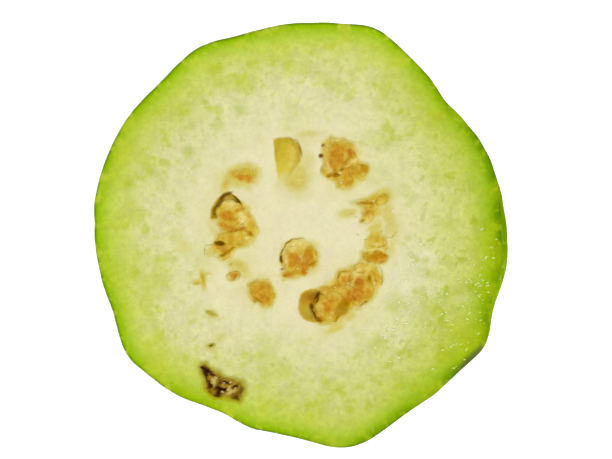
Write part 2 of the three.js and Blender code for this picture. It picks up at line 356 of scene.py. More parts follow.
# Orange-brown kernels and bands; a strength above 1 is a redder rust.
RUSSET = spots(
    (6.2, 11.8, 3.2, 3.5, 0, 0.42), (-11.6, 0.5, 2.6, 3.8, 10, 0.3),
    (-0.3, -4.8, 2.3, 2.5, 0, 0.36), (4.4, -11.4, 2.9, 3.0, 30, 0.5),
    (8.6, -8.4, 3.2, 3.0, 20, 0.5), (5.6, 13.0, 1.15, 1.7, -4, 0.95),
    (7.7, 12.8, 0.75, 0.9, 0, 0.9), (4.9, 11.3, 0.6, 1.4, 8, 0.85), (6.5, 12.0, 1.6, 2.0, 0, 0.6),
    (8.9, 10.4, 1.9, 1.0, 15, 0.5), (7.0, 9.6, 1.6, 0.9, 25, 0.55), (7.2, 8.3, 1.0, 0.7, 20, 0.6),
    (4.9, 9.4, 1.2, 0.4, 12, 0.9), (-9.3, 9.0, 1.5, 0.55, 0, 0.8), (-8.4, 8.6, 0.8, 0.5, 0, 0.5),
    (-10.9, 9.5, 1.4, 0.6, 12, 0.35), (-12.0, 2.9, 1.3, 0.75, -10, 0.9),
    (-12.6, 1.4, 0.9, 0.5, -10, 0.75), (-10.9, 0.8, 2.0, 0.45, 2, 0.75),
    (-9.7, 3.9, 0.9, 0.35, 25, 0.7), (-8.3, 2.8, 0.4, 0.9, 0, 0.5),
    (-11.3, -0.5, 1.9, 0.8, 0, 0.42), (-12.7, -2.3, 1.3, 0.9, -25, 0.6),
    (-9.9, -1.3, 1.1, 0.8, 0, 0.45), (-8.5, 0.2, 0.9, 0.35, -35, 0.7),
    (-10.9, -6.6, 0.8, 0.5, 20, 0.85), (-1.2, -4.2, 1.1, 1.4, 0, 0.9),
    (1.0, -3.9, 0.95, 1.5, -12, 0.95), (-1.9, -6.4, 1.5, 0.6, 4, 0.7),
    (0.4, -5.6, 0.5, 1.1, -10, 1.0), (-0.2, -4.3, 0.6, 1.2, 0, 0.75),
    (-6.3, -9.4, 1.7, 1.7, 0, 0.65), (-6.2, -10.3, 1.3, 0.7, 5, 1.0),
    (-7.0, -8.7, 0.8, 0.6, 0, 0.7), (9.2, -7.7, 0.8, 1.0, 10, 1.18), (8.7, -9.6, 1.8, 1.0, 0, 1.05),
    (7.2, -7.4, 1.1, 0.9, 0, 0.75), (5.8, -8.4, 1.3, 0.6, 10, 0.6), (3.6, -8.7, 1.0, 0.5, 0, 0.5),
    (4.3, -11.6, 1.1, 1.3, 0, 0.9), (6.9, -10.5, 0.8, 1.0, 0, 0.8),
    (3.0, -13.6, 0.8, 0.5, -30, 0.9), (10.7, -9.3, 0.8, 1.0, 0, 0.7),
    (11.4, -6.5, 1.1, 1.0, 0, 0.35), (12.2, -3.8, 1.6, 0.9, 0, 0.85),
    (10.4, -3.3, 0.8, 0.7, 0, 0.3), (13.1, -1.0, 0.5, 1.3, 0, 0.3), (13.2, -2.2, 0.5, 0.8, 0, 0.35),
    (10.7, -1.2, 0.4, 0.9, 0, 0.3), (10.9, 3.9, 0.9, 1.2, -10, 0.42),
    (10.3, 4.9, 1.6, 0.35, -4, 0.6), (11.8, 5.5, 2.0, 0.5, 18, 0.3), (1.2, -10.4, 1.3, 1.3, 0, 0.6))

# Dark olive and brown: painted shade in the gaps beside the seeds and along shaded edges, and real
# thin lines and pinholes.
DARK = spots(
    (3.05, 12.6, 0.42, 0.4, 20, 1.0), (3.45, 14.35, 0.36, 0.26, 25, 0.8),
    (8.3, 12.5, 0.25, 0.7, -5, 0.3), (7.3, 11.8, 0.8, 0.18, 35, 0.45),
    (6.35, 10.5, 0.36, 0.22, 40, 0.6), (5.5, 9.5, 0.5, 0.26, 10, 0.75),
    (4.6, 9.2, 0.8, 0.2, 12, 0.5), (8.4, 10.4, 0.6, 0.5, 0, 0.3), (9.9, 10.5, 0.7, 0.8, 0, 0.3),
    (3.3, 10.6, 0.35, 0.9, -10, 0.35), (-12.3, 6.1, 1.3, 0.28, 32, 0.9),
    (-10.5, 5.5, 1.2, 0.24, -48, 0.95), (-13.2, 4.8, 1.3, 0.26, 56, 0.45),
    (-13.3, -1.5, 0.8, 0.38, 8, 1.0), (-13.0, -3.3, 0.6, 0.25, 20, 0.55),
    (-11.6, -2.5, 1.1, 0.18, 28, 0.6), (-15.7, -2.7, 0.14, 0.8, 0, 0.42),
    (-14.9, -1.85, 0.9, 0.13, 4, 0.45), (-8.4, -0.1, 0.4, 0.32, 0, 0.5),
    (-10.2, 0.8, 1.1, 0.2, 0, 0.35), (-12.4, -3.9, 0.8, 0.2, 30, 0.4),
    (-3.25, -4.0, 0.24, 0.55, -8, 1.0), (-3.0, -2.6, 0.13, 1.1, -22, 0.6),
    (-2.1, -1.15, 0.9, 0.13, 40, 0.6), (-0.6, -0.85, 1.1, 0.13, 0, 0.45),
    (-3.2, -5.6, 0.34, 0.2, 30, 0.55), (-2.8, -6.7, 0.5, 0.3, 0, 0.4),
    (1.6, -4.7, 0.9, 0.16, 35, 0.45), (-7.3, -10.8, 0.5, 0.3, 0, 0.35),
    (2.3, -10.2, 0.22, 1.0, -22, 0.9), (1.6, -11.7, 0.34, 0.5, 20, 0.95),
    (1.85, -12.9, 0.2, 1.0, 18, 0.95), (2.6, -14.0, 0.6, 0.18, -20, 0.6),
    (1.3, -9.7, 1.2, 0.9, 0, 0.3), (6.4, -11.9, 1.0, 1.4, -35, 0.5),
    (5.8, -13.5, 1.0, 0.2, 48, 0.6), (10.0, -11.0, 1.0, 0.18, 32, 0.55),
    (10.8, -7.1, 0.3, 0.45, 0, 0.65), (8.5, -5.5, 0.2, 0.6, -40, 0.28),
    (7.0, -5.85, 0.9, 0.16, 12, 0.3), (5.9, -6.5, 0.2, 0.6, -10, 0.3),
    (12.85, -6.8, 0.16, 1.3, 0, 0.26), (8.5, -8.0, 0.3, 0.45, 0, 0.4),
    (11.9, -4.5, 1.6, 0.2, -4, 0.2), (10.2, -3.2, 0.6, 0.5, 0, 0.3), (11.9, -3.6, 1.5, 0.7, 0, 0.3),
    (10.2, 4.9, 1.3, 0.24, -5, 0.4), (12.7, 5.8, 1.0, 0.5, 30, 0.22),
    (9.6, 2.2, 0.5, 0.25, 40, 0.4), (7.9, 3.3, 0.45, 0.13, 0, 0.3), (8.6, 2.8, 0.2, 0.2, 0, 0.3),
    (8.8, -0.1, 0.25, 0.2, 0, 0.3), (-10.9, -7.1, 0.8, 0.15, 10, 0.4),
    (-0.35, 13.7, 0.16, 1.3, 22, 0.5), (-1.6, 15.15, 1.1, 0.14, -16, 0.4))

# Soft green patches of the flesh, and milky patches: paler flesh in the middle, painted wet sheen
# on the right side.
GREEN_PATCHES = spots(
    (25.5, -16.5, 5.0, 3.6, -30, 0.75), (22.0, -11.5, 4.5, 2.2, 30, 0.6),
    (17.4, -11.0, 3.4, 1.4, 8, 0.68), (29.8, -4.0, 2.0, 6.0, 5, 0.45),
    (25.4, -19.0, 3.0, 1.6, 20, 0.6), (23.6, 1.6, 2.0, 1.2, 10, 0.35),
    (18.0, 22.6, 2.4, 1.4, -30, 0.35), (21.8, 9.4, 1.6, 2.2, 0, 0.3),
    (5.0, -25.0, 3.0, 1.4, 0, 0.3), (-8.8, 24.6, 2.0, 1.2, 0, 0.25),
    (20.6, -6.4, 1.6, 0.8, 0, 0.42), (22.4, -6.8, 0.6, 1.0, 20, 0.35),
    (20.0, -18.0, 4.0, 2.0, 20, 0.35), (-13.7, 26.4, 1.1, 0.8, 10, 0.75),
    (-9.9, 20.1, 1.0, 1.0, 0, 0.5), (-13.4, 17.4, 1.0, 1.1, 0, 0.38),
    (-13.5, 18.5, 0.4, 0.3, 0, 0.75), (-15.5, 21.1, 0.4, 0.3, 0, 0.7),
    (-21.1, 14.2, 0.5, 0.35, 0, 0.65), (-18.2, 13.1, 0.9, 0.9, 0, 0.5),
    (-24.3, 10.0, 0.8, 1.1, 20, 0.5), (-19.3, 19.8, 1.0, 1.0, 0, 0.45),
    (-22.9, 19.4, 0.6, 0.9, 40, 0.5), (-16.6, 22.6, 1.0, 0.7, 20, 0.3),
    (-27.0, 12.8, 1.6, 1.6, 0, 0.35), (-27.8, 8.1, 1.0, 1.1, 10, 0.7),
    (-22.4, 8.7, 1.1, 1.3, 0, 0.25), (-17.4, 17.4, 1.6, 0.9, 20, 0.22),
    (-7.4, -19.7, 1.3, 1.0, 10, 0.5), (-6.0, -23.4, 0.8, 0.7, 0, 0.35),
    (9.2, -19.0, 0.7, 0.6, 0, 0.5), (11.6, -18.0, 1.1, 1.4, 0, 0.42),
    (7.6, -28.2, 0.8, 0.6, 20, 0.75), (7.4, -22.5, 1.0, 0.8, 0, 0.3),
    (4.2, -23.7, 1.0, 0.7, 0, 0.3), (-0.6, -19.2, 1.4, 1.0, 0, 0.22),
    (4.0, -24.5, 15.0, 6.0, 0, 0.2), (-25.0, 16.0, 8.0, 3.0, 48, 0.2),
    (14.6, 15.2, 1.8, 1.2, 20, 0.32), (13.2, 24.6, 1.6, 1.4, 0, 0.3),
    (17.4, -13.2, 1.4, 0.8, 0, 0.2), (-16.5, -26.0, 7.0, 2.6, -25, 0.35),
    (1.0, -26.0, 9.0, 3.5, 0, 0.25), (20.0, 19.5, 8.0, 3.5, -45, 0.25),
    (-20.5, -4.0, 0.7, 0.5, 0, 0.3), (26.5, 3.5, 1.0, 0.5, 60, 0.35))
MILKY_FLESH_AND_SHEEN = spots(
    (15.8, -7.6, 4.4, 4.6, -20, 0.65), (21.4, -7.8, 1.2, 0.7, 0, 0.6),
    (25.0, -10.4, 2.2, 1.0, 10, 0.25), (14.6, -15.6, 2.6, 1.6, -30, 0.5),
    (18.2, -4.0, 3.0, 1.6, 0, 0.75), (13.2, -13.4, 2.6, 2.2, 0, 0.5),
    (20.4, -9.4, 2.0, 0.8, 10, 0.4), (8.4, -15.6, 4.0, 2.0, 10, 0.35), (3.0, 3.0, 7.0, 6.0, 0, 0.3),
    (4.6, -6.4, 1.2, 0.9, 0, 0.5))
WET_BASE = 0.27
WET_SIDE = spot(22.5, -10.5, 11.0, 15.0, -38, 1.0)
# Where drops of juice stand close together.
WET_SPOTS = spots(
    (28.2, -8.0, 1.9, 0.8, 0, 0.8), (28.4, -9.6, 1.4, 0.4, 0, 0.8), (21.2, -7.7, 0.9, 0.6, 0, 0.9),
    (18.0, -3.7, 1.8, 0.7, -10, 0.85), (25.3, -3.7, 0.6, 0.4, 0, 0.95),
    (19.2, -1.7, 0.7, 0.4, 0, 0.9), (31.2, -4.6, 0.7, 2.2, 0, 0.55), (30.4, -7.0, 0.7, 0.6, 0, 0.8),
    (23.4, -14.0, 0.5, 0.7, 0, 1.0), (22.4, -12.8, 0.6, 0.4, 0, 0.9),
    (17.4, -13.2, 1.6, 0.9, 0, 0.8), (14.2, -15.2, 1.1, 0.6, 0, 0.95),
    (13.2, -16.3, 0.9, 0.5, 0, 0.9), (12.6, -12.6, 0.9, 1.1, 0, 0.75),
    (15.0, -19.7, 1.4, 0.6, 0, 0.8), (29.0, -14.0, 0.7, 1.8, 10, 0.5),
    (26.8, -12.2, 0.5, 0.4, 0, 0.95), (25.0, -18.5, 1.8, 0.6, 10, 0.5),
    (20.6, -9.4, 1.0, 0.4, 0, 0.85), (14.8, -4.6, 0.8, 0.6, 0, 0.8), (14.5, 3.4, 0.6, 0.3, 0, 0.85),
    (24.6, -21.4, 1.2, 0.4, 40, 0.9))
# A painted shadow at a small notch in the rim, low on the right side.
RIM_NOTCH_SHADOW = spot(26.6, -20.2, 3.4, 1.0, 48, 1.0)


def spots_at(x, y, spots, edge):
    """The strongest of these soft spots at each point; edge is how soft their edges are."""
    ragged = 0.20 * PULP_NOISE.at(flat_points(x, y), 1.5, 2)
    total = np.zeros(len(x))
    for one in spots:
        near = 1 - smooth(1 - edge, 1 + edge, ellipse_reach(x, y, one) + ragged)
        total = np.maximum(total, near * one["strength"])
    return total


def masses_at(x, y):
    """The strongest of the pulp masses at each point."""
    ragged = 0.34 * PULP_NOISE.at(flat_points(x, y), 1.5, 3)
    total = np.zeros(len(x))
    for strength, edge, corners in PULP_MASSES:
        away = polygon_distance(x, y, corners) + ragged
        total = np.maximum(total, strength * smooth(edge + 0.35, -edge - 0.3, away))
    return total


def warped(x, y):
    """The same points pushed about a little, so that nothing on the fruit is a drawn ellipse."""
    points = flat_points(x, y)
    push_x = 0.20 * SHAPE_NOISE.at(points + 5.0, 1.7, 3)
    push_y = 0.20 * SHAPE_NOISE.at(points + 9.0, 1.7, 3)
    return x + push_x, y + push_y


def pulp_colours(x, y):
    """The colour attributes that pulp and seeds share, at each point."""
    x, y = warped(x, y)
    return {
        "golden": np.maximum(masses_at(x, y), spots_at(x, y, PULP, 0.85)),
        "pale": spots_at(x, y, PALE, 0.6),
        "russet": spots_at(x, y, RUSSET, 0.55),
        "dark": spots_at(x, y, DARK, 0.42),
    }


PULP_NOISE = NoiseField(11)
SHAPE_NOISE = NoiseField(23)
SKIN_NOISE = NoiseField(37)


# ---- Seeds -------------------------------------------------------------------------------------


# Waves of a seed's outline: height as a share of its radius, number round it, and shift.
OUTLINE_WAVES = [(0.06, 3, 1), (0.045, 5, -2), (0.03, 9, 3), (0.015, 17, -1)]


def seed_radius(seed, angle):
    """The outline of a seed at the cut, at an angle round it: an ellipse with soft corners."""
    local = angle - math.radians(seed["turn"])
    along, across = seed["half"]
    plain = 1 / np.hypot(np.cos(local) / along, np.sin(local) / across)
    phase = seed["x"] * 1.7 + seed["y"] * 2.3
    wobble = sum(height * np.sin(waves * angle + shift * phase)
                 for height, waves, shift in OUTLINE_WAVES)
    return plain * (1 + wobble)


def seed_distance(seed, x, y):
    """Distance outside a seed's outline, negative inside."""
    dx, dy = x - seed["x"], y - seed["y"]
    return np.hypot(dx, dy) - seed_radius(seed, np.arctan2(dy, dx))


SEED_SEGMENTS = 64
SEED_RINGS = 34
SEED_LUMPS, SEED_GRAIN = 0.09, 0.05


def seed_profile(part):
    """How wide and how high a seed is, from its top, 0, to its bottom, 1. It is widest where the
    knife passed, so that its pocket can be straight-sided. Height is 1 at the top, -1 below."""
    turn = math.pi * part
    power = 0.8 if turn < math.pi / 2 else 0.9
    width = math.sin(turn) ** power
    height = math.copysign(abs(math.cos(turn)) ** 0.9, math.cos(turn))
    return width, height


def seed_floor(seed, x, y):
    """Height of a seed's underside over each point, and the cut's level outside its outline."""
    dx, dy = x - seed["x"], y - seed["y"]
    share = np.clip(np.hypot(dx, dy) / seed_radius(seed, np.arctan2(dy, dx)), 0, 1)
    depth = CUT_LEVEL - seed["bottom"]
    return CUT_LEVEL - depth * np.sqrt(1 - share ** 2)


def seed_mesh(seed):
    """Points, faces and colour attributes of one seed: a blunt bean with a rough, chipped top."""
    angle = np.arange(SEED_SEGMENTS) * TAU / SEED_SEGMENTS
    outline = seed_radius(seed, angle)
    rise = seed["top"] - CUT_LEVEL
    depth = CUT_LEVEL - seed["bottom"]
    rings = []
    for ring in range(1, SEED_RINGS):
        width, height = seed_profile(ring / SEED_RINGS)
        level = CUT_LEVEL + height * (rise if height > 0 else depth)
        rings.append(np.column_stack([
            seed["x"] + outline * width * np.cos(angle),
            seed["y"] + outline * width * np.sin(angle),
            np.full(SEED_SEGMENTS, level),
        ]))
    top = [[seed["x"], seed["y"], seed["top"]]]
    bottom = [[seed["x"], seed["y"], seed["bottom"]]]
    points = np.vstack([top] + rings + [bottom])

    colours = pulp_colours(points[:, 0], points[:, 1])
    above = smooth(CUT_LEVEL - 0.4, CUT_LEVEL + 0.05, points[:, 2])
    centre = np.array([seed["x"], seed["y"], CUT_LEVEL - 0.5 * depth])
    outward = points - centre
    outward /= np.linalg.norm(outward, axis=1)[:, None]
    # The orange kernel and the dark marks, real cracks and painted gap shade, lie a little inside
    # the broken pale shell.
    relief = SEED_LUMPS * SHAPE_NOISE.at(points, 1.5, 4)
    relief += SEED_GRAIN * SHAPE_NOISE.at(points, 0.45, 2)
    relief -= 0.10 * smooth(0.0, 1.0, colours["russet"]) + 0.14 * colours["dark"]
    relief += 0.08 * colours["pale"]
    points = points + outward * (above * relief)[:, None]
    # Low seeds are covered by the pulp and take its colours; proud ones are golden all over.
    buried = smooth(0.35, 0.15, rise)
    colours["golden"] = np.maximum(colours["golden"], 0.95 - 0.75 * buried)

    faces = []
    last = len(points) - 1
    for step in range(SEED_SEGMENTS):
        following = (step + 1) % SEED_SEGMENTS
        faces.append((0, 1 + step, 1 + following))
        for ring in range(SEED_RINGS - 2):
            upper = 1 + ring * SEED_SEGMENTS
            lower = upper + SEED_SEGMENTS
            faces.append((upper + step, lower + step, lower + following, upper + following))
        base = 1 + (SEED_RINGS - 2) * SEED_SEGMENTS
        faces.append((base + step, last, base + following))
    return points, faces, colours


# ---- The fruit ---------------------------------------------------------------------------------

SEGMENTS = 480
SKIN_SMOOTHING = 2.2  # degrees, to round off the frame's facets
SKIN_RINGS = 58
SKIN_SPACING = 1.12  # above 1, the rings are closer together near the rim
SKIN_LUMPS, SKIN_BUMPS = 0.22, 0.05
EDGE_ROUND = 0.12
FOOT_START, FOOT_END = 4.0, 12.0  # levels between which the lumps die away to the flat foot
RIM_JOIN = math.radians(5)  # how far down the skin still follows the rim's own ripples
JUST_BELOW = math.radians(0.25)
RIPPLE_RING, RIPPLE_SIZE, RIPPLE_HEIGHT = 9.0, 1.3, 0.15
# Unevenness of the cut: the knife's waves, its wet grain, and the sunken and lumpy middle.
KNIFE_WAVES, CUT_GRAIN, CORE_SINK, CORE_LUMPS = 0.035, 0.030, 0.12, 0.10
# How pulp stands above the cut and is lumpy, and how shells, kernels and dark gaps differ.
PULP_RISE, PULP_LUMPS, SHELL_RISE, KERNEL_SINK, GAP_SINK = 0.06, 0.13, 0.10, 0.06, 0.3
SCAB_SINK, SCAB_RELIEF = 0.75, 0.95
POCKET_GAP = 0.03
LOST_SEED_DEPTHS, WEST_DEPTH, SOUTH_DEPTH = (0.12, 1.1), 1.1, 1.3

# Gentle swellings of the outside: direction and width in degrees, height in millimetres.
SWELLS = [(16, 15, 0.78), (-31, 7, 0.75), (-10, 9, 0.4), (44, 5, -0.4), (-84, 13, 0.38),
          (168, 6, 0.22)]

# Spacing of the rings across the cut: from, to and step, in millimetres at the mean radius.
CUT_RINGS = [(0.0, 16.6, 0.145), (16.6, 30.6, 0.42), (30.6, 33.0, 0.22)]


def blur_round(values, spread):
    """Blurs round the circle: values has one column for each segment, spread is in segments."""
    reach = int(3 * spread) + 1
    offsets = np.arange(-reach, reach + 1)
    weights = np.exp(-0.5 * (offsets / spread) ** 2)
    weights /= weights.sum()
    return sum(w * np.roll(values, o, axis=-1) for w, o in zip(weights, offsets))


def swelling(angle):
    """How far the outside swells beyond the frame's at each angle, with small ripples."""
    total = np.zeros(len(angle))
    for middle, width, height in SWELLS:
        away = (np.degrees(angle) - middle + 180) % 360 - 180
        total += height * np.exp(-(away / width) ** 2)
    points = RIPPLE_RING * flat_points(np.cos(angle), np.sin(angle))
    return total + RIPPLE_HEIGHT * SHAPE_NOISE.at(points, RIPPLE_SIZE)


def rim_outline(angle):
    """Radius of the cut's rim at each angle, from the frame, with small natural ripples."""
    radius = np.array([surface_reach(a, JUST_BELOW) for a in angle])
    radius = blur_round(radius, SKIN_SMOOTHING / 360 * len(angle))
    return radius + swelling(angle)


def ring_shares():
    """Where the cut's rings lie, as shares of the way from the middle to the rim."""
    radii = []
    for start, end, step in CUT_RINGS:
        count = round((end - start) / step)
        radii += [start + (end - start) * i / count for i in range(count)]
    return np.array(radii[1:]) / CUT_RINGS[-1][1]


def hollow_reaches(x, y):
    """Distance to the outline of each open hollow, negative inside, with natural wobbles."""
    wobble = 0.10 * SHAPE_NOISE.at(flat_points(x, y), 1.4, 3)
    return [polygon_distance(x, y, outline) + wobble
            for outline in (LOST_SEED, WEST_CRESCENT, SOUTH_CRESCENT)]


def hollow_depth(x, y):
    """How far the open hollows reach below the cut at each point."""
    lost, west, south = hollow_reaches(x, y)
    shallow, deeper = LOST_SEED_DEPTHS
    depth = (shallow + deeper * smooth(8.5, 13.5, y)) * smooth(0.2, -0.8, lost)
    depth = np.maximum(depth, WEST_DEPTH * smooth(0.10, -0.7, west))
    return np.maximum(depth, SOUTH_DEPTH * smooth(0.10, -1.2, south))


def hollow_at(x, y):
    """1 over the floors of the hollows; the lost seed's pocket fades out to its lower end."""
    lost, west, south = hollow_reaches(x, y)
    fading = smooth(7.4, 10.5, y)
    return np.maximum.reduce([fading * smooth(0.22, -0.12, lost), smooth(0.15, -0.1, west),
                              smooth(0.15, -0.1, south)])


def scab_at(x, y):
    """1 inside the scab's ragged outline, 0 outside it."""
    ragged = 0.42 * SHAPE_NOISE.at(flat_points(x, y), 1.3, 4)
    crust = smooth(1.5, -0.35, polygon_distance(x, y, SCAB) + ragged)
    return np.maximum(crust, spots_at(*warped(x, y), SCAB_SPECKS, 0.8))


def scab_tone(x, y):
    """0 where the scab is blackest, 1 where pale cork stands in it."""
    noise = 0.20 * SKIN_NOISE.at(flat_points(x, y) + 3.1, 1.1, 4)
    pits, cork = spots_at(x, y, SCAB_PITS, 0.6), spots_at(x, y, SCAB_CORK, 0.6)
    return np.clip(0.46 + noise - 0.55 * pits + 0.42 * cork, 0, 1)


def cut_height(x, y, rim_gap, colours):
    """Height of the cut face over each point: level, with knife marks, pulp, pockets and scab."""
    points = flat_points(x, y)
    drag = flat_points(x * 0.35 + y * 0.1, y * 1.2)
    height = KNIFE_WAVES * SHAPE_NOISE.at(drag, 3.0) + CUT_GRAIN * PULP_NOISE.at(points, 0.8)
    middle = 1 - smooth(14.0, 19.0, np.hypot(x, y))
    height += middle * (-CORE_SINK + CORE_LUMPS * PULP_NOISE.at(points, 2.6))
    height += colours["golden"] * (PULP_RISE + PULP_LUMPS * SHAPE_NOISE.at(points, 1.0, 4))
    height += SHELL_RISE * colours["pale"] - KERNEL_SINK * np.minimum(colours["russet"], 1)
    height -= GAP_SINK * colours["dark"]
    hollow = hollow_depth(x, y)
    height -= hollow
    for seed in SEEDS:
        away = seed_distance(seed, x, y)
        # Pulp climbs a little way up the side of a seed.
        climb = 0.42 * (seed["top"] - CUT_LEVEL) * smooth(0.8, 0.0, away)
        height += climb * (1 - smooth(0.1, 0.5, hollow))
        pocket = seed_floor(seed, x, y) - CUT_LEVEL - POCKET_GAP
        start = 0.2 * seed["half"][1]
        wall = -(CUT_LEVEL - seed["bottom"]) * smooth(-start, -start - 0.6, away)
        near = away < -start
        height = np.where(near, np.minimum(height, np.minimum(wall, pocket)), height)
    scab = smooth(0.78, 0.98, scab_at(x, y))
    rugged = scab_tone(x, y) + 0.2 * SKIN_NOISE.at(points, 0.6, 2)
    height += scab * (-SCAB_SINK + SCAB_RELIEF * rugged)
    settled = smooth(0.0, 0.9, rim_gap)
    height = height * settled - EDGE_ROUND * (1 - smooth(0.0, 0.25, rim_gap))
    return CUT_LEVEL + height


def cut_attributes(x, y, rim_gap, colours):
    """What the flesh's material reads at each point of the cut."""
    points = flat_points(x, y)
    closeness = np.full(len(x), 9.0)
    halo = np.zeros(len(x))
    ragged = 0.25 * PULP_NOISE.at(points, 1.4, 3)
    for seed in SEEDS:
        away = seed_distance(seed, x, y)
        closeness = np.minimum(closeness, away)
        strength = 0.3 + 0.4 * smooth(0.15, 0.35, seed["top"] - CUT_LEVEL)
        halo = np.maximum(halo, strength * (1 - smooth(-0.1, 1.2, away + ragged)))
    hollow = hollow_at(x, y)
    # Painted shade on the floor of a hollow next to a seed.
    shade_beside_seed = hollow * (1 - smooth(0.05, 0.4, closeness))
    return {
        **colours,
        "rim_gap": rim_gap,
        "golden": np.maximum(colours["golden"] * (1 - 0.7 * hollow), halo * (1 - hollow)),
        "dark": np.maximum(colours["dark"], 0.3 * shade_beside_seed),
        "hollow": hollow,
        "scab": scab_at(x, y),
        "scab_tone": scab_tone(x, y),
        "green": spots_at(*warped(x, y), GREEN_PATCHES, 0.9),
        "milky_and_sheen": (spots_at(*warped(x, y), MILKY_FLESH_AND_SHEEN, 0.8)
                  * np.clip(0.85 + 0.7 * SHAPE_NOISE.at(points, 1.3), 0, 1.5)),
        "wet": np.maximum(WET_BASE * (1 - smooth(0.6, 1.15, ellipse_reach(x, y, WET_SIDE))),
                          spots_at(x, y, WET_SPOTS, 0.5)),
        "notch_shadow": 1 - smooth(0.5, 1.2, ellipse_reach(x, y, RIM_NOTCH_SHADOW)
                             + 0.3 * PULP_NOISE.at(points, 1.4, 2)),
    }


def skin_rings(angle, rim):
    """Rings of the outside, from just under the rim to just above the flat spot's middle."""
    drops = np.radians(90) * (np.arange(1, SKIN_RINGS) / SKIN_RINGS) ** SKIN_SPACING
    reach = np.array([[surface_reach(a, drop) for a in angle] for drop in drops])
    per_degree = len(angle) / 360
    reach = blur_round(reach, SKIN_SMOOTHING * per_degree)
    # Down the fruit the same blur is two passes of a three-ring average.
    for _ in range(2):
        inner = (reach[:-2] + 2 * reach[1:-1] + reach[2:]) / 4
        reach = np.vstack([reach[:1], inner, reach[-1:]])
    reach += swelling(angle) * np.cos(drops)[:, None] ** 2
    rings = []
    for drop, row in zip(drops, reach):
        direction = np.column_stack([
            math.cos(drop) * np.cos(angle), math.cos(drop) * np.sin(angle),
            np.full(len(angle), -math.sin(drop))])
        points = direction * row[:, None]
        lumps = SKIN_LUMPS * SKIN_NOISE.at(points, 9.0, 2) + SKIN_BUMPS * SKIN_NOISE.at(points, 2.2)
        foot = smooth(FOOT_START, FOOT_END, points[:, 2] + CUT_LEVEL)
        join = smooth(0.0, RIM_JOIN, drop)
        points += direction * (lumps * foot * join)[:, None]
        # The first rings keep the rim's own ripples.
        match = (1 - join) * (rim - row)
        points += direction * match[:, None]
        points[:, 2] = np.maximum(points[:, 2] + CUT_LEVEL, 0)
        rings.append(points)
    return rings


def stitch(outer, inner, faces):
    """Faces between two rings of the same number of points, the first one outside or above."""
    count = len(outer)
    for step in range(count):
        following = (step + 1) % count
        faces.append((outer[step], outer[following], inner[following], inner[step]))


def stitch_halving(outer, inner, faces):
    """Faces from a ring to one with half as many points."""
    for step in range(len(inner)):
        following = (step + 1) % len(inner)
        first, second, third = (outer[(2 * step + i) % len(outer)] for i in range(3))
        faces.append((first, second, inner[step]))
        faces.append((second, third, inner[following], inner[step]))


def fruit_mesh():
    """Points, faces, attributes and the first skin face of the fruit, as one closed mesh."""
    angle = np.arange(SEGMENTS) * TAU / SEGMENTS
    rim = rim_outline(angle)
    shares = ring_shares()
    radius = np.concatenate([share * rim for share in shares] + [rim])
    around = np.tile(angle, len(shares) + 1)
    gap = np.tile(rim, len(shares) + 1) - radius
    x = np.concatenate([[0.0], radius * np.cos(around)])
    y = np.concatenate([[0.0], radius * np.sin(around)])
    gap = np.concatenate([[rim.mean()], gap])
    colours = pulp_colours(x, y)
    z = cut_height(x, y, gap, colours)
    cut_points = np.column_stack([x, y, z])
    attributes = cut_attributes(x, y, gap, colours)

    faces = []
    cut_rows = [np.arange(SEGMENTS) + 1 + row * SEGMENTS for row in range(len(shares) + 1)]
    for step in range(SEGMENTS):
        faces.append((0, cut_rows[0][step], cut_rows[0][(step + 1) % SEGMENTS]))
    for inner, outer in zip(cut_rows, cut_rows[1:]):
        stitch(outer, inner, faces)
    cut_faces = len(faces)

    half_angle = angle[::2]
    rings = skin_rings(half_angle, rim[::2])
    start = len(cut_points)
    skin_rows = [np.arange(len(half_angle)) + start + row * len(half_angle)
                 for row in range(len(rings))]
    stitch_halving(cut_rows[-1][::-1], skin_rows[0][::-1], faces)
    for upper, lower in zip(skin_rows, skin_rows[1:]):
        stitch(lower, upper, faces)
    pole_height = max(rings[-1][:, 2].mean(), 0)
    points = np.vstack([cut_points] + rings + [[[0.0, 0.0, pole_height]]])
    pole = len(points) - 1
    last = skin_rows[-1]
    for step in range(len(last)):
        faces.append((last[step], pole, last[(step + 1) % len(last)]))
    extra = len(points) - len(cut_points)
    for label in attributes:
        attributes[label] = np.concatenate([attributes[label], np.zeros(extra)])
    return points, faces, attributes, cut_faces


# ---- Node trees --------------------------------------------------------------------------------


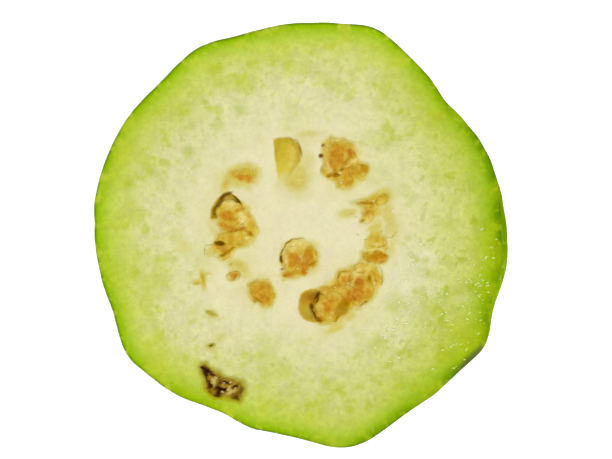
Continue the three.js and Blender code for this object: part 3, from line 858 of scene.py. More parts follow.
class Nodes:
    """Short names for adding and joining nodes in one tree."""

    def __init__(self, tree):
        self.tree = tree

    def add(self, kind, **settings):
        node = self.tree.nodes.new(kind)
        for name, value in settings.items():
            setattr(node, name, value)
        return node

    def feed(self, value, socket):
        """Links an output to a socket, or sets the socket to a plain value."""
        if isinstance(value, bpy.types.NodeSocket):
            self.tree.links.new(value, socket)
        else:
            socket.default_value = value

    def math(self, operation, first, second=0.0, clamp=False):
        node = self.add("ShaderNodeMath", operation=operation, use_clamp=clamp)
        self.feed(first, node.inputs[0])
        self.feed(second, node.inputs[1])
        return node.outputs[0]

    def times(self, first, second):
        return self.math("MULTIPLY", first, second)

    def plus(self, first, second):
        return self.math("ADD", first, second)

    def minus(self, first, second):
        return self.math("SUBTRACT", first, second)

    def mix(self, share, first, second, blend="MIX"):
        node = self.add("ShaderNodeMix", data_type="RGBA", blend_type=blend)
        self.dress(node, {"Factor": share, "A": first, "B": second})
        return node.outputs["Result"]

    def blend(self, share, first, second):
        node = self.add("ShaderNodeMix", data_type="FLOAT")
        self.dress(node, {"Factor": share, "A": first, "B": second})
        return node.outputs["Result"]

    def attribute(self, name):
        return self.add("ShaderNodeAttribute", attribute_name=name).outputs["Fac"]

    def ease(self, value, low, high, bottom=0.0, top=1.0):
        node = self.add("ShaderNodeMapRange", interpolation_type="SMOOTHSTEP")
        for socket, number in zip(node.inputs, (value, low, high, bottom, top)):
            self.feed(number, socket)
        return node.outputs[0]

    def noise(self, vector, scale, detail=2.0, roughness=0.5):
        node = self.add("ShaderNodeTexNoise")
        self.dress(node, {"Vector": vector, "Scale": scale, "Detail": detail,
                          "Roughness": roughness})
        return node.outputs["Fac"]

    def ramp(self, value, stops):
        node = self.add("ShaderNodeValToRGB")
        elements = node.color_ramp.elements
        while len(elements) < len(stops):
            elements.new(1.0)
        for element, (place, colour) in zip(elements, stops):
            element.position = place
            element.color = colour
        self.feed(value, node.inputs[0])
        return node.outputs["Color"]

    def axes(self, vector):
        """The X, Y and Z of a vector."""
        node = self.add("ShaderNodeSeparateXYZ")
        self.feed(vector, node.inputs[0])
        return node.outputs

    def scaled(self, vector, factor):
        node = self.add("ShaderNodeVectorMath", operation="SCALE")
        self.feed(vector, node.inputs[0])
        self.feed(factor, node.inputs["Scale"])
        return node.outputs[0]

    def millimetres(self):
        """Object coordinates in millimetres."""
        return self.scaled(self.add("ShaderNodeTexCoord").outputs["Object"], 1 / MM)

    def dress(self, node, values):
        """Links or sets a node's inputs by name."""
        for name, value in values.items():
            self.feed(value, node.inputs[name])

    def group(self, tree, **values):
        node = self.add("ShaderNodeGroup", node_tree=tree)
        self.dress(node, values)
        return node


FLOAT, VECTOR, COLOUR = "NodeSocketFloat", "NodeSocketVector", "NodeSocketColor"


def new_group(name, inputs, outputs):
    """An empty shader node group with these sockets, and its input and output nodes."""
    tree = bpy.data.node_groups.new(name, "ShaderNodeTree")
    for label, kind, default in inputs:
        socket = tree.interface.new_socket(label, in_out="INPUT", socket_type=kind)
        if default is not None:
            socket.default_value = default
    for label, kind in outputs:
        tree.interface.new_socket(label, in_out="OUTPUT", socket_type=kind)
    nodes = Nodes(tree)
    return nodes, nodes.add("NodeGroupInput").outputs, nodes.add("NodeGroupOutput").inputs


def soft_blotches():
    """Soft round blotches of a given size: the green cell clusters of flesh, skin and shell."""
    tree = bpy.data.node_groups.get("soft_blotches")
    if tree:
        return tree
    nodes, given, result = new_group(
        "soft_blotches",
        [("Place", VECTOR, None), ("Size", FLOAT, 1.0),
         ("Amount", FLOAT, 0.5)],
        [("Mask", FLOAT)])
    shrunk = nodes.scaled(given["Place"], nodes.math("DIVIDE", 1.0, given["Size"]))
    field = nodes.noise(shrunk, 1.0, 1.5, 0.45)
    low = nodes.minus(0.68, nodes.times(given["Amount"], 0.25))
    high = nodes.plus(low, 0.13)
    nodes.feed(nodes.ease(field, low, high), result["Mask"])
    return nodes.tree


def fine_grain():
    """Grain of wet cells: a height and a tone, both between 0 and 1."""
    tree = bpy.data.node_groups.get("fine_grain")
    if tree:
        return tree
    nodes, given, result = new_group(
        "fine_grain",
        [("Place", VECTOR, None), ("Coarse", FLOAT, 1.6)],
        [("Height", FLOAT), ("Tone", FLOAT)])
    spread = nodes.scaled(given["Place"], given["Coarse"])
    low = nodes.noise(spread, 1.0, 3.0, 0.6)
    cells = nodes.add("ShaderNodeTexVoronoi", feature="F1")
    nodes.dress(cells, {"Vector": spread, "Scale": 2.2})
    raised = nodes.minus(1.0, cells.outputs["Distance"])
    nodes.feed(nodes.blend(0.45, low, raised), result["Height"])
    nodes.feed(nodes.ease(low, 0.3, 0.7), result["Tone"])
    return nodes.tree


def pulp_paint(settings):
    """Golden pulp, pale shell with a few painted highlights, orange kernel, and dark cracks and
    painted shade, laid over a base colour.
    """
    tree = bpy.data.node_groups.get("pulp_paint")
    if tree:
        return tree
    nodes, given, result = new_group(
        "pulp_paint",
        [("Base", COLOUR, None), ("Place", VECTOR, None), ("Golden", FLOAT, 0.0),
         ("Pale", FLOAT, 0.0), ("Russet", FLOAT, 0.0), ("Dark", FLOAT, 0.0)],
        [("Color", COLOUR)])
    tone = nodes.noise(given["Place"], 1.1, 3.0, 0.55)
    gold = nodes.ramp(tone, [(0.30, srgb(202, 164, 22)), (0.46, srgb(212, 180, 44)),
                             (0.58, (*settings.pulp_colour, 1)), (0.72, srgb(225, 206, 92))])
    # Thin pulp only tints the flesh an olive yellow; thick pulp is golden.
    colour = nodes.mix(nodes.ease(given["Golden"], 0.0, 0.55, 0.0, 0.8), given["Base"],
                       srgb(212, 202, 96))
    colour = nodes.mix(nodes.ease(given["Golden"], 0.3, 0.95), colour, gold)
    shell = nodes.ramp(tone, [(0.32, srgb(222, 190, 78)), (0.52, srgb(234, 213, 118)),
                              (0.70, srgb(239, 224, 148))])
    colour = nodes.mix(given["Pale"], colour, shell)
    kernel = nodes.ramp(tone, [(0.34, srgb(190, 124, 4)), (0.52, (*settings.kernel_colour, 1)),
                               (0.68, srgb(212, 162, 40))])
    bare = nodes.minus(1.0, nodes.times(given["Pale"], 0.6))
    kernel_share = nodes.times(nodes.ease(given["Russet"], 0.05, 0.95), bare)
    colour = nodes.mix(kernel_share, colour, kernel)
    colour = nodes.mix(nodes.ease(given["Russet"], 0.95, 1.3, 0.0, 0.8), colour,
                       srgb(190, 104, 2))
    # Dark olive and brown: real cracks and pinholes, and painted shade in gaps and along edges.
    colour = nodes.mix(nodes.ease(given["Dark"], 0.05, 0.62, 0.0, 0.75), colour,
                       srgb(160, 118, 0))
    colour = nodes.mix(nodes.ease(given["Dark"], 0.6, 1.0, 0.0, 0.9), colour, srgb(116, 76, 0))
    nodes.feed(colour, result["Color"])
    return nodes.tree


def painted(nodes, settings, base, place):
    """A material's colour with pulp, shells, kernels, dark cracks and painted shade in the gaps
    laid over it.
    """
    paint = nodes.group(pulp_paint(settings), Base=base, Place=place,
                        **{label.capitalize(): nodes.attribute(label)
                           for label in ("golden", "pale", "russet", "dark")})
    return paint.outputs["Color"]


def new_material(name):
    """A new material, its nodes and its shader."""
    material = bpy.data.materials.new(name)
    material.use_nodes = True
    material.node_tree.nodes.clear()
    nodes = Nodes(material.node_tree)
    shader = nodes.add("ShaderNodeBsdfPrincipled")
    output = nodes.add("ShaderNodeOutputMaterial")
    nodes.feed(shader.outputs[0], output.inputs["Surface"])
    return material, nodes, shader


def bump(nodes, height, strength, distance):
    """A bump whose distance is in millimetres."""
    node = nodes.add("ShaderNodeBump")
    nodes.dress(node, {"Strength": strength, "Distance": distance * MM, "Height": height})
    return node.outputs["Normal"]


# ---- Materials ---------------------------------------------------------------------------------

RAMP_REACH = 20.0  # millimetres in from the rim that the flesh's colours run over

# Flesh colours by their distance in from the rim, on the pale side and on the green side.
PALE_SIDE = [(0.0, (92, 124, 6)), (0.3, (128, 166, 6)), (0.55, (152, 190, 8)),
             (0.95, (160, 200, 14)), (1.25, (170, 200, 40)), (2.2, (188, 210, 66)),
             (3.8, (206, 216, 102)), (6.5, (216, 217, 136)), (10.0, (224, 221, 160)),
             (14.5, (229, 225, 174))]
# At the rim this list starts with the skin's dark green edge, darkened further as painted shade
# over the rounded rim.
GREEN_SIDE = [(0.0, (74, 112, 0)), (0.25, (90, 134, 0)), (0.95, (110, 154, 0)),
              (1.25, (130, 170, 6)), (2.2, (162, 192, 40)), (3.8, (186, 202, 74)),
              (6.5, (207, 212, 112)), (10.0, (215, 217, 135)), (14.5, (224, 221, 160))]


def ramp_stops(colours):
    """Stops for a ramp over RAMP_REACH, from distances and display colours."""
    return [(distance / RAMP_REACH, srgb(*colour)) for distance, colour in colours]


def flesh_material(settings):
    material, nodes, shader = new_material("guava_flesh")
    place = nodes.millimetres()
    axes = nodes.axes(place)

    # The band of green under the skin, and how it fades into the cream core.
    drift = nodes.noise(place, 0.16, 3.0, 0.55)
    fine_drift = nodes.noise(place, 0.9, 3.0, 0.6)
    gap = nodes.attribute("rim_gap")
    sway = nodes.plus(nodes.times(nodes.minus(drift, 0.5), 9.0),
                      nodes.times(nodes.minus(fine_drift, 0.5), 3.0))
    inner = nodes.ease(gap, 1.0, 7.0)
    swayed = nodes.plus(gap, nodes.times(sway, inner))
    reach = nodes.math("DIVIDE", swayed, RAMP_REACH, clamp=True)
    core = [(1.0, (*settings.core_colour, 1))]
    pale = nodes.ramp(reach, ramp_stops(PALE_SIDE) + core)
    green = nodes.ramp(reach, ramp_stops(GREEN_SIDE) + core)
    above = nodes.times(nodes.math("MAXIMUM", axes["Y"], 0.0), 0.8)
    below = nodes.times(nodes.math("MINIMUM", axes["Y"], 0.0), 0.12)
    lean = nodes.plus(nodes.minus(axes["X"], above), below)
    side = nodes.ease(nodes.plus(lean, nodes.times(drift, 14.0)), -8.0, 38.0)
    colour = nodes.mix(side, pale, green)

    # Broad green and milky patches, then green cell clusters that grow stronger to the rim.
    patch = (*settings.patch_colour, 1)
    colour = nodes.mix(nodes.attribute("green"), colour, patch)
    # Milky patches: painted wet sheen on the right side, the flesh's own paler colour in the
    # middle.
    colour = nodes.mix(nodes.attribute("milky_and_sheen"), colour, srgb(230, 228, 184))
    outer = nodes.ease(gap, 21.0, 6.0, 0.1, 1.0)
    cluster_tone = nodes.mix(side, srgb(196, 207, 58), srgb(170, 190, 20))
    for share, size, amount in ((0.7, 1.0, 0.45), (0.5, 0.42, 0.42), (0.5, 2.1, 0.62)):
        clusters = nodes.group(soft_blotches(), Place=place, Amount=amount,
                               Size=size * settings.cluster_size / MM).outputs["Mask"]
        strength = nodes.times(clusters, nodes.times(outer, share))
        colour = nodes.mix(strength, colour, cluster_tone)
    pale_cells = nodes.ease(nodes.noise(place, 0.5, 3.0, 0.6), 0.50, 0.74, 0.0, 0.4)
    pale_cells = nodes.times(pale_cells, nodes.ease(gap, 3.0, 12.0))
    colour = nodes.mix(pale_cells, colour, srgb(232, 228, 190))
    rosy = nodes.ease(nodes.noise(place, 0.34, 3.0, 0.6), 0.44, 0.70, 0.0, 0.4)
    rosy = nodes.times(rosy, nodes.ease(gap, 12.0, 20.0))
    colour = nodes.mix(rosy, colour, srgb(232, 218, 186))
    grain = nodes.group(fine_grain(), Place=place, Coarse=1.25)
    broad_tone = nodes.ease(nodes.noise(place, 0.45, 4.0, 0.7), 0.3, 0.7, 0.955, 1.035)
    tone = nodes.ease(grain.outputs["Tone"], 0.0, 1.0, 0.95, 1.04)
    tone = nodes.blend(nodes.ease(gap, 10.0, 20.0, 0.0, 0.65), nodes.times(tone, broad_tone), 1.0)
    dims = nodes.add("ShaderNodeCombineColor")
    for socket in dims.inputs:
        nodes.feed(tone, socket)
    colour = nodes.mix(1.0, colour, dims.outputs[0], "MULTIPLY")

    # The floors of the hollows, with painted shade darkening the lost seed's pocket towards its
    # deeper top end, then pulp and seed colours.
    hollow = nodes.attribute("hollow")
    floor_tone_and_shade = nodes.plus(nodes.ease(axes["Y"], 6.0, 14.0, 0.75, 0.2),
                            nodes.times(nodes.noise(place, 1.3, 3.0), 0.3))
    floor = nodes.ramp(floor_tone_and_shade, [(0.30, srgb(200, 176, 0)), (0.55, srgb(222, 202, 52)),
                                    (0.95, srgb(206, 176, 30))])
    colour = nodes.mix(nodes.times(hollow, 0.94), colour, floor)
    golden = nodes.attribute("golden")
    dark = nodes.attribute("dark")
    colour = painted(nodes, settings, colour, place)

    # The corky scab, from its yellowed margin to tan crust and black pits.
    scab = nodes.attribute("scab")
    colour = nodes.mix(nodes.ease(scab, 0.1, 0.8, 0.0, 0.85), colour, srgb(168, 160, 0))
    crust = nodes.ramp(nodes.attribute("scab_tone"), [
        (0.06, srgb(44, 20, 0)), (0.24, srgb(92, 58, 4)), (0.42, srgb(142, 112, 20)),
        (0.56, srgb(168, 140, 44)), (0.74, srgb(198, 176, 88)), (0.95, srgb(216, 198, 120))])
    colour = nodes.mix(nodes.ease(scab, 0.76, 0.96), colour, crust)
    # Painted shadow, grey olive, at the small notch in the rim.
    notch_shadow = nodes.times(nodes.attribute("notch_shadow"), nodes.ease(gap, 1.6, 0.2, 0.0, 0.75))
    colour = nodes.mix(notch_shadow, colour, srgb(78, 84, 52))

    wet = nodes.attribute("wet")
    damp = nodes.math("MAXIMUM", wet, nodes.math("MAXIMUM", golden, hollow))
    rough = nodes.blend(damp, settings.roughness, 0.30)
    rough = nodes.plus(rough, nodes.ease(scab, 0.6, 0.9, 0.0, 0.35))
    shine = nodes.times(nodes.ease(gap, 1.2, 6.0), nodes.ease(dark, 0.0, 0.4, 1.0, 0.0))
    shine = nodes.times(shine, nodes.ease(hollow, 0.0, 1.0, 1.0, 0.2))
    nodes.dress(shader, {
        "Base Color": colour,
        "Roughness": nodes.plus(rough, nodes.times(grain.outputs["Tone"], 0.08)),
        "Coat Weight": nodes.times(nodes.times(damp, shine), 0.10), "Coat Roughness": 0.18,
        "Specular IOR Level": nodes.times(shine, 0.13),
        "Subsurface Weight": settings.translucency, "Subsurface Radius": (1.0, 0.8, 0.35),
        "Subsurface Scale": 0.0012,
        "Normal": bump(nodes, grain.outputs["Height"], 0.7, settings.grain_height / MM)})
    return material


def skin_material(settings):
    material, nodes, shader = new_material("guava_skin")
    place = nodes.millimetres()
    axes = nodes.axes(place)
    broad = nodes.noise(place, 0.055, 3.0, 0.55)
    colour = nodes.ramp(broad, [(0.30, srgb(98, 136, 0)), (0.48, (*settings.skin_colour, 1)),
                                (0.62, srgb(134, 168, 4)), (0.78, srgb(158, 184, 24))])
    blotches = nodes.group(soft_blotches(), Place=place, Size=4.2, Amount=0.55).outputs["Mask"]
    colour = nodes.mix(nodes.times(blotches, 0.35), colour, srgb(92, 130, 0))
    speckle = nodes.group(soft_blotches(), Place=place, Size=1.1, Amount=0.42).outputs["Mask"]
    colour = nodes.mix(nodes.times(speckle, 0.5), colour, srgb(170, 196, 74))
    scuffs = nodes.ease(nodes.noise(place, 0.32, 6.0, 0.72), 0.66, 0.74, 0.0, 0.6)
    colour = nodes.mix(scuffs, colour, srgb(138, 122, 50))

    # Painted shade: the skin is darkened just under the rim, where its rounded edge faces the key
    # light.
    rim = nodes.ease(axes["Z"], CUT_LEVEL - 1.6, CUT_LEVEL - 0.2, 0.0, 0.6)
    colour = nodes.mix(rim, colour, srgb(88, 122, 0))

    # Round the stalk scar the skin yellows, then turns to dry brown cork.
    across = nodes.add("ShaderNodeCombineXYZ")
    nodes.feed(axes["X"], across.inputs["X"])
    nodes.feed(axes["Y"], across.inputs["Y"])
    length = nodes.add("ShaderNodeVectorMath", operation="LENGTH")
    nodes.feed(across.outputs[0], length.inputs[0])
    under = nodes.ease(axes["Z"], 7.0, 3.0)
    ragged = nodes.times(nodes.noise(place, 1.1, 3.0), 2.2)
    distance = nodes.plus(length.outputs["Value"], ragged)
    yellowed = nodes.times(nodes.ease(distance, 13.0, 4.0, 0.0, 0.55), under)
    colour = nodes.mix(yellowed, colour, srgb(176, 176, 52))
    cork = nodes.times(nodes.ease(distance, 4.6, 3.2), under)
    bark = nodes.ramp(nodes.noise(place, 2.4, 5.0, 0.7), [
        (0.3, srgb(58, 40, 16)), (0.5, srgb(112, 84, 42)), (0.7, srgb(158, 132, 78))])
    colour = nodes.mix(cork, colour, bark)

    pores = nodes.add("ShaderNodeTexVoronoi", feature="F1")
    nodes.dress(pores, {"Vector": place, "Scale": 1.9})
    dimples = nodes.ease(pores.outputs["Distance"], 0.0, 0.45)
    height = nodes.plus(dimples, nodes.noise(place, 2.8, 4.0, 0.65))
    waxy = nodes.ease(scuffs, 0.0, 0.6, settings.skin_roughness, 0.62)
    matt = nodes.ease(axes["Z"], CUT_LEVEL - 14.0, CUT_LEVEL - 5.0)
    nodes.dress(shader, {
        "Base Color": colour, "Roughness": nodes.blend(matt, waxy, 0.9),
        "Specular IOR Level": nodes.times(nodes.minus(1.0, matt), 0.08),
        "Subsurface Weight": 0.04, "Subsurface Radius": (1.0, 0.9, 0.3),
        "Subsurface Scale": 0.001, "Normal": bump(nodes, height, 0.35, 0.08)})
    return material


def seed_material(settings):
    material, nodes, shader = new_material("guava_seed")
    place = nodes.millimetres()
    tone = nodes.noise(place, 1.6, 4.0, 0.65)
    shell = nodes.mix(nodes.ease(nodes.attribute("golden"), 0.5, 0.9), srgb(230, 221, 172),
                      nodes.mix(tone, srgb(196, 152, 40), srgb(226, 196, 92)))
    dark = nodes.attribute("dark")
    colour = painted(nodes, settings, shell, place)
    flecks = nodes.ease(nodes.noise(place, 5.5, 3.0, 0.7), 0.60, 0.72, 0.0, 0.22)
    matt = nodes.ease(dark, 0.0, 0.4, 1.0, 0.0)
    grain = nodes.group(fine_grain(), Place=place, Coarse=3.2)
    nodes.dress(shader, {
        "Base Color": nodes.mix(flecks, colour, srgb(150, 96, 12)),
        "Roughness": nodes.ease(tone, 0.3, 0.7, settings.seed_roughness, 0.5),
        "Coat Weight": nodes.times(nodes.ease(tone, 0.35, 0.65, 0.16, 0.02), matt),
        "Coat Roughness": 0.12, "Specular IOR Level": nodes.times(matt, 0.12),
        "Subsurface Weight": 0.2, "Subsurface Radius": (1.0, 0.6, 0.2),
        "Subsurface Scale": 0.0006, "Normal": bump(nodes, grain.outputs["Height"], 0.5, 0.08)})
    return material


def juice_material():
    """Drops of juice under a wet shine, coloured paler than the flesh beneath them as a painted
    highlight.
    """
    material, nodes, shader = new_material("guava_juice")
    place = nodes.millimetres()
    axes = nodes.axes(place)
    lean = nodes.minus(axes["X"], nodes.times(axes["Y"], 0.4))
    outward = nodes.ease(nodes.plus(lean, nodes.noise(place, 0.8)), 14.0, 36.0)
    # Near white inwards and pale green outwards: painted highlight on the drops.
    nodes.dress(shader, {
        "Base Color": nodes.mix(outward, srgb(243, 242, 200), srgb(206, 226, 88)),
        "Roughness": nodes.ease(nodes.noise(place, 3.0), 0.3, 0.7, 0.06, 0.16),
        "Specular IOR Level": 0.6, "Coat Weight": 1.0, "Coat Roughness": 0.05})
    return material


def crumb_material():
    material, nodes, shader = new_material("guava_scab_crumb")
    place = nodes.millimetres()
    mixed = nodes.plus(nodes.attribute("tone"), nodes.times(nodes.noise(place, 2.5, 3.0), 0.4))
    colour = nodes.ramp(mixed, [(0.22, srgb(42, 22, 2)), (0.5, srgb(122, 92, 24)),
                                (0.72, srgb(188, 162, 76)), (1.0, srgb(214, 194, 116))])
    nodes.dress(shader, {
        "Base Color": colour, "Specular IOR Level": 0.25,
        "Roughness": nodes.ease(nodes.noise(place, 4.0), 0.3, 0.7, 0.55, 0.8)})
    return material


def pulp_material():
    """Jelly grains of the pulp that holds the seeds."""
    material, nodes, shader = new_material("guava_pulp_grain")
    place = nodes.millimetres()
    mixed = nodes.plus(nodes.times(nodes.attribute("tone"), 0.6),
                       nodes.times(nodes.noise(place, 1.3, 4.0, 0.65), 0.4))
    colour = nodes.ramp(mixed, [(0.25, srgb(206, 176, 52)), (0.5, srgb(222, 204, 104)),
                                (0.78, srgb(230, 218, 146))])
    nodes.dress(shader, {
        "Base Color": colour, "Specular IOR Level": 0.12,
        "Roughness": nodes.ease(nodes.noise(place, 4.0), 0.3, 0.7, 0.2, 0.36),
        "Subsurface Weight": 0.2, "Subsurface Radius": (1.0, 0.8, 0.3),
        "Subsurface Scale": 0.0006})
    return material


def floor_material(settings):
    material, nodes, shader = new_material("studio_floor")
    place = nodes.add("ShaderNodeTexCoord").outputs["Object"]
    tone = nodes.ease(nodes.noise(place, 3.0), 0.3, 0.7, 0.985, 1.0)
    white = nodes.mix(tone, srgb(246, 246, 246), srgb(252, 252, 252))
    nodes.dress(shader, {
        "Base Color": white, "Emission Color": white,
        "Emission Strength": settings.floor_glow, "Roughness": 0.9, "Specular IOR Level": 0.1})
    return material


# ---- Scattered pieces --------------------------------------------------------------------------

# How far a lump may be turned about X, Y and Z, in radians, and its width as a share of its length.
LEAST_TURN, MOST_TURN = (-0.3, -0.3, -0.6), (0.3, 0.3, 0.9)
LUMP_WIDTH = 0.5
TONE_SEED = 5


def scatter_tree(name, flatness):
    """Lumps scattered where the carrier's spread attribute is strong. Each lump is a small ball,
    flattened and turned at random, and keeps a random tone between 0 and 1."""
    tree = bpy.data.node_groups.new(name, "GeometryNodeTree")
    sockets = [("Carrier", "NodeSocketGeometry"), ("Density", FLOAT), ("Smallest", FLOAT),
               ("Largest", FLOAT), ("Seed", "NodeSocketInt"), ("Finish", "NodeSocketMaterial")]
    for label, kind in sockets:
        tree.interface.new_socket(label, in_out="INPUT", socket_type=kind)
    tree.interface.new_socket("Lumps", in_out="OUTPUT", socket_type="NodeSocketGeometry")
    nodes = Nodes(tree)
    given = nodes.add("NodeGroupInput").outputs
    result = nodes.add("NodeGroupOutput").inputs

    where = nodes.add("GeometryNodeInputNamedAttribute", data_type="FLOAT")
    where.inputs["Name"].default_value = "spread"
    thick = nodes.math("POWER", where.outputs["Attribute"], 2.0)
    scatter = nodes.add("GeometryNodeDistributePointsOnFaces", distribute_method="RANDOM")
    nodes.dress(scatter, {"Mesh": given["Carrier"], "Seed": given["Seed"],
                          "Density": nodes.times(thick, given["Density"])})

    ball = nodes.add("GeometryNodeMeshIcoSphere")
    nodes.dress(ball, {"Radius": 1.0, "Subdivisions": 2})
    rough = nodes.add("ShaderNodeTexNoise")
    nodes.dress(rough, {"Scale": 1.3})
    shift = nodes.add("ShaderNodeVectorMath", operation="SUBTRACT")
    nodes.feed(rough.outputs["Color"], shift.inputs[0])
    nodes.feed((0.5, 0.5, 0.5), shift.inputs[1])
    dented = nodes.add("GeometryNodeSetPosition")
    nodes.dress(dented, {"Geometry": ball.outputs["Mesh"], "Offset": shift.outputs[0]})
    shaded = nodes.add("GeometryNodeSetShadeSmooth")
    nodes.dress(shaded, {"Geometry": dented.outputs[0]})

    turn = nodes.add("FunctionNodeRandomValue", data_type="FLOAT_VECTOR")
    nodes.dress(turn, {"Min": LEAST_TURN, "Max": MOST_TURN, "Seed": given["Seed"]})
    size = nodes.add("FunctionNodeRandomValue", data_type="FLOAT")
    nodes.feed(given["Smallest"], size.inputs[2])
    nodes.feed(given["Largest"], size.inputs[3])
    nodes.dress(size, {"Seed": given["Seed"]})
    squash = nodes.add("ShaderNodeCombineXYZ")
    nodes.dress(squash, {"X": size.outputs[1], "Y": nodes.times(size.outputs[1], LUMP_WIDTH),
                         "Z": nodes.times(size.outputs[1], flatness)})
    lay = nodes.add("GeometryNodeInstanceOnPoints")
    nodes.dress(lay, {"Points": scatter.outputs["Points"], "Instance": shaded.outputs[0],
                      "Rotation": turn.outputs[0], "Scale": squash.outputs[0]})

    tone = nodes.add("FunctionNodeRandomValue", data_type="FLOAT")
    nodes.feed(0.0, tone.inputs[2])
    nodes.feed(1.0, tone.inputs[3])
    nodes.dress(tone, {"Seed": TONE_SEED})
    keep = nodes.add("GeometryNodeStoreNamedAttribute", data_type="FLOAT", domain="INSTANCE")
    nodes.dress(keep, {"Geometry": lay.outputs[0], "Name": "tone", "Value": tone.outputs[1]})
    real = nodes.add("GeometryNodeRealizeInstances")
    nodes.feed(keep.outputs[0], real.inputs[0])
    finish = nodes.add("GeometryNodeSetMaterial")
    nodes.dress(finish, {"Geometry": real.outputs[0], "Material": given["Finish"]})
    nodes.feed(finish.outputs[0], result[0])
    return tree


def carrier_copy(share):
    """A temporary copy of the fruit to scatter on, with share worked into a new attribute."""
    source = bpy.data.objects[FRUIT_PIECE]
    mesh = source.data.copy()
    copy = bpy.data.objects.new("carrier", mesh)
    bpy.context.scene.collection.objects.link(copy)
    values = {}
    for layer in source.data.attributes:
        if layer.data_type == "FLOAT" and layer.domain == "POINT":
            numbers = np.empty(len(mesh.vertices), np.float32)
            layer.data.foreach_get("value", numbers)
            values[layer.name] = numbers
    points = np.empty(len(mesh.vertices) * 3)
    mesh.vertices.foreach_get("co", points)
    spread = mesh.attributes.new("spread", "FLOAT", "POINT")
    spread.data.foreach_set("value", share(values, points.reshape(-1, 3) / MM).astype(np.float32))
    return copy


def scatter_piece(name, share, flatness, amounts, finish):
    """Scatters lumps over the fruit and settles them as one plain piece. The amounts are how many
    there are on a square metre, the smallest and largest radius, and the random seed."""
    carrier = carrier_copy(share)
    tree = scatter_tree(name + "_tree", flatness)
    inputs = dict(zip(("Density", "Smallest", "Largest", "Seed"), amounts), Finish=finish)
    piece = apply_tree(name, carrier, tree, inputs)
    bpy.data.objects.remove(carrier)
    if not piece.data.polygons:
        raise RuntimeError(name + " came out empty")
    settle(piece, [])


FRUIT_PIECE = "guava_half_flesh_and_skin"


def wet_share(values, points):
    return values["wet"] * smooth(0.3, 1.0, values["rim_gap"])


def scab_share(values, points):
    return smooth(0.9, 1.0, values["scab"]) * smooth(0.25, 0.7, values["scab_tone"])


def pulp_share(values, points):
    open_pulp = 1 - smooth(0.1, 0.5, values["hollow"])
    level = smooth(CUT_LEVEL - 0.5, CUT_LEVEL - 0.2, points[:, 2])
    thick = values["golden"] * smooth(0.3, 0.5, values["golden"])
    return thick * open_pulp * level * (1 - 0.8 * values["dark"])


# ---- Settings ----------------------------------------------------------------------------------


def colour_property(name, description, colour):
    """A colour in the sidebar whose default is this display colour, 0 to 255 a channel."""
    return bpy.props.FloatVectorProperty(name=name, description=description, subtype="COLOR",
                                         size=3, min=0.0, max=1.0, default=srgb(*colour)[:3])


def share_property(name, description, default):
    return bpy.props.FloatProperty(name=name, description=description, default=default,
                                   min=0.0, max=1.0, subtype="FACTOR")


def length_property(name, description, default):
    return bpy.props.FloatProperty(name=name, description=description, default=default,
                                   min=0.0, unit="LENGTH", precision=5)


def amount_property(name, description, default):
    return bpy.props.FloatProperty(name=name, description=description, default=default, min=0.0)


class GuavaFleshSettings(bpy.types.PropertyGroup):
    core_colour: colour_property("Core", "Cream of the middle of the cut", (237, 230, 186))
    patch_colour: colour_property("Green patches", "Green of the flesh's patches", (176, 195, 14))
    pulp_colour: colour_property("Pulp", "Gold of the pulp round the seeds", (219, 194, 66))
    kernel_colour: colour_property("Kernels", "Orange brown of the seeds", (204, 144, 20))
    skin_colour: colour_property("Skin", "Green of the skin", (116, 152, 0))
    cluster_size: length_property("Cell clusters", "Size of the green cell clusters", 0.0026)
    grain_height: length_property("Grain height", "Height of the wet grain of the cut", 0.00012)
    roughness: share_property("Flesh roughness", "Roughness of the drier flesh", 0.42)
    translucency: share_property("Translucency", "How much light passes through flesh", 0.12)
    skin_roughness: share_property("Skin roughness", "Roughness of the waxy skin", 0.36)
    seed_roughness: share_property("Seed roughness", "Roughness of the wettest seeds", 0.3)


class GuavaScatterSettings(bpy.types.PropertyGroup):
    bead_count: amount_property("Juice drops", "Drops on a square metre of wet flesh", 5.4e6)
    bead_size: length_property("Largest drop", "Radius of the largest juice drop", 0.00036)
    crumb_count: amount_property("Scab crumbs", "Crumbs on a square metre of scab", 2.6e6)
    crumb_size: length_property("Largest crumb", "Radius of the scab's largest crumb", 0.00032)
    grain_count: amount_property("Pulp grains", "Grains on a square metre of pulp", 3.3e5)
    grain_size: length_property("Largest grain", "Radius of the largest pulp grain", 0.0004)
    random_seed: bpy.props.IntProperty(
        name="Random seed", description="Start of the random order of the scattered pieces",
        default=4, min=0)


class GuavaStageSettings(bpy.types.PropertyGroup):
    floor_glow: amount_property("Floor glow", "Light that the floor gives off", 0.55)
    sky: amount_property("Sky", "Strength of the even light from all round", 0.33)
    key_power: bpy.props.FloatProperty(
        name="Key light", description="Power of the large soft light on the right",
        default=1.06, min=0.0, unit="POWER")
    fill_power: bpy.props.FloatProperty(
        name="Fill lights", description="Power of each of the other soft lights",
        default=0.59, min=0.0, unit="POWER")
    camera_height: length_property("Camera height", "Height of the camera above the cut", 0.231)


# ---- Operators ---------------------------------------------------------------------------------


class GUAVA_OT_fruit(bpy.types.Operator):
    """Builds the fruit half in one closed mesh, with a flesh and a skin material"""
    bl_idname = "guava.fruit"
    bl_label = "Fruit half"

    def execute(self, context):
        settings = context.scene.guava_flesh
        points, faces, attributes, cut_faces = fruit_mesh()
        fruit = mesh_object(FRUIT_PIECE, points, faces, attributes)
        if len(fruit.data.polygons) != len(faces):
            raise RuntimeError("the fruit's mesh lost faces")
        fruit.data.materials.append(flesh_material(settings))
        fruit.data.materials.append(skin_material(settings))
        places = np.zeros(len(faces), np.int32)
        places[cut_faces:] = 1
        fruit.data.polygons.foreach_set("material_index", places)
        settle(fruit, [FRUIT])
        return {"FINISHED"}


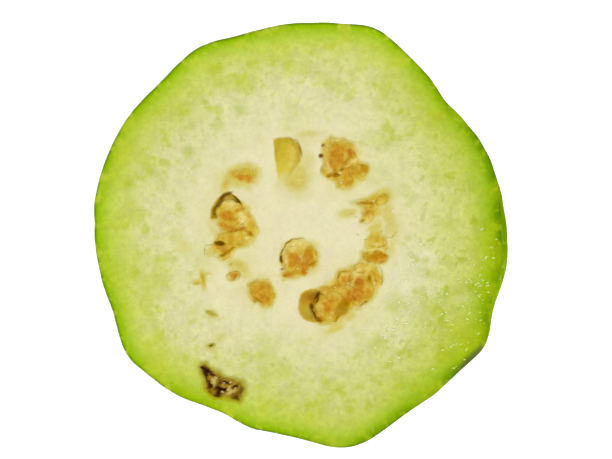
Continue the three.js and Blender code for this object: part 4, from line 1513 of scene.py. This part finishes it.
class GUAVA_OT_seeds(bpy.types.Operator):
    """Builds every seed that the cut laid bare"""
    bl_idname = "guava.seeds"
    bl_label = "Seeds"

    def execute(self, context):
        material = seed_material(context.scene.guava_flesh)
        for seed in SEEDS:
            name = seed["name"]
            piece = mesh_object(name + "_look", *seed_mesh(seed))
            piece.data.materials.append(material)
            settle(piece, [name])
        return {"FINISHED"}


class GUAVA_OT_juice(bpy.types.Operator):
    """Scatters drops of juice over the wet side of the cut"""
    bl_idname = "guava.juice"
    bl_label = "Juice drops"

    def execute(self, context):
        settings = context.scene.guava_scatter
        largest = settings.bead_size
        amounts = (settings.bead_count, 0.3 * largest, largest, settings.random_seed)
        scatter_piece("juice_drops", wet_share, 0.42, amounts, juice_material())
        return {"FINISHED"}


class GUAVA_OT_crumbs(bpy.types.Operator):
    """Scatters corky crumbs over the scab"""
    bl_idname = "guava.crumbs"
    bl_label = "Scab crumbs"

    def execute(self, context):
        settings = context.scene.guava_scatter
        largest = settings.crumb_size
        amounts = (settings.crumb_count, 0.25 * largest, largest, settings.random_seed + 1)
        scatter_piece("scab_crumbs", scab_share, 0.7, amounts, crumb_material())
        return {"FINISHED"}


class GUAVA_OT_pulp(bpy.types.Operator):
    """Scatters jelly grains over the golden pulp round the seeds"""
    bl_idname = "guava.pulp"
    bl_label = "Pulp grains"

    def execute(self, context):
        settings = context.scene.guava_scatter
        largest = settings.grain_size
        amounts = (settings.grain_count, 0.3 * largest, largest, settings.random_seed + 2)
        scatter_piece("pulp_grains", pulp_share, 0.45, amounts, pulp_material())
        return {"FINISHED"}


def soft_light(name, azimuth, elevation, distance, size, power):
    """A square softbox aimed at the fruit; angles in degrees."""
    light = bpy.data.lights.new(name, "AREA")
    light.shape = "SQUARE"
    light.size = size
    light.energy = power
    lamp = bpy.data.objects.new(name, light)
    away = direction_of(math.radians(azimuth), math.radians(elevation))
    lamp.location = away * distance
    lamp.rotation_euler = away.to_track_quat("Z", "Y").to_euler()
    bpy.context.scene.collection.objects.link(lamp)


# Each soft light: azimuth and elevation in degrees, distance and size in metres, share of power.
SOFT_LIGHTS = [
    ("key_light", -12, 52, 0.55, 0.30, 1.0),
    ("back_light", 100, 48, 0.55, 0.30, 1.0),
    ("left_light", 190, 46, 0.55, 0.30, 1.0),
    ("front_light", 280, 48, 0.55, 0.30, 0.8),
]
CAMERA_X, CAMERA_Y = 0.00064, 0.00072
FLOOR_HALF = 1.5
LENS, SENSOR = 85, 36  # millimetres
NEAREST = 0.01


class GUAVA_OT_stage(bpy.types.Operator):
    """Builds the pale floor, the soft lights and the camera that looks straight down"""
    bl_idname = "guava.stage"
    bl_label = "Stage"

    def execute(self, context):
        scene = context.scene
        settings = scene.guava_stage
        corners = [(x * FLOOR_HALF, y * FLOOR_HALF, 0) for x, y in
                   ((-1, -1), (1, -1), (1, 1), (-1, 1))]
        mesh = bpy.data.meshes.new("floor")
        mesh.from_pydata(corners, [], [(0, 1, 2, 3)])
        mesh.materials.append(floor_material(settings))
        floor = bpy.data.objects.new("floor", mesh)
        scene.collection.objects.link(floor)
        for name, azimuth, elevation, distance, size, share in SOFT_LIGHTS:
            power = settings.key_power if name == "key_light" else settings.fill_power * share
            soft_light(name, azimuth, elevation, distance, size, power)

        world = bpy.data.worlds.new("studio")
        world.use_nodes = True
        Nodes(world.node_tree).dress(world.node_tree.nodes["Background"],
                                     {"Color": (1, 1, 1, 1), "Strength": settings.sky})
        scene.world = world
        scene.view_settings.view_transform = "Standard"

        lens = bpy.data.cameras.new("camera")
        lens.lens = LENS
        lens.sensor_width = SENSOR
        lens.clip_start = NEAREST
        camera = bpy.data.objects.new("camera", lens)
        camera.location = (CAMERA_X, CAMERA_Y, CUT_LEVEL * MM + settings.camera_height)
        scene.collection.objects.link(camera)
        scene.camera = camera
        return {"FINISHED"}


class GUAVA_PT_panel(bpy.types.Panel):
    """Lists the guava's operators and settings"""
    bl_idname = "GUAVA_PT_panel"
    bl_label = "Guava half"
    bl_space_type = "VIEW_3D"
    bl_region_type = "UI"
    bl_category = "Guava"

    def draw(self, context):
        layout = self.layout
        for group in (context.scene.guava_flesh, context.scene.guava_scatter,
                      context.scene.guava_stage):
            box = layout.box()
            for name in type(group).__annotations__:
                box.prop(group, name)
        for operator in OPERATORS:
            layout.operator(operator.bl_idname)


OPERATORS = (GUAVA_OT_fruit, GUAVA_OT_seeds, GUAVA_OT_juice, GUAVA_OT_crumbs, GUAVA_OT_pulp,
             GUAVA_OT_stage)
GROUPS = {"guava_flesh": GuavaFleshSettings, "guava_scatter": GuavaScatterSettings,
          "guava_stage": GuavaStageSettings}


def register():
    for kind in (*GROUPS.values(), *OPERATORS, GUAVA_PT_panel):
        bpy.utils.register_class(kind)
    for label, group in GROUPS.items():
        setattr(bpy.types.Scene, label, bpy.props.PointerProperty(type=group))


def unregister():
    for label in GROUPS:
        delattr(bpy.types.Scene, label)
    for kind in reversed((*GROUPS.values(), *OPERATORS, GUAVA_PT_panel)):
        bpy.utils.unregister_class(kind)


def main():
    register()
    bpy.ops.guava.fruit()
    bpy.ops.guava.seeds()
    bpy.ops.guava.juice()
    bpy.ops.guava.crumbs()
    bpy.ops.guava.pulp()
    bpy.ops.guava.stage()


if __name__ == "__main__":
    main()
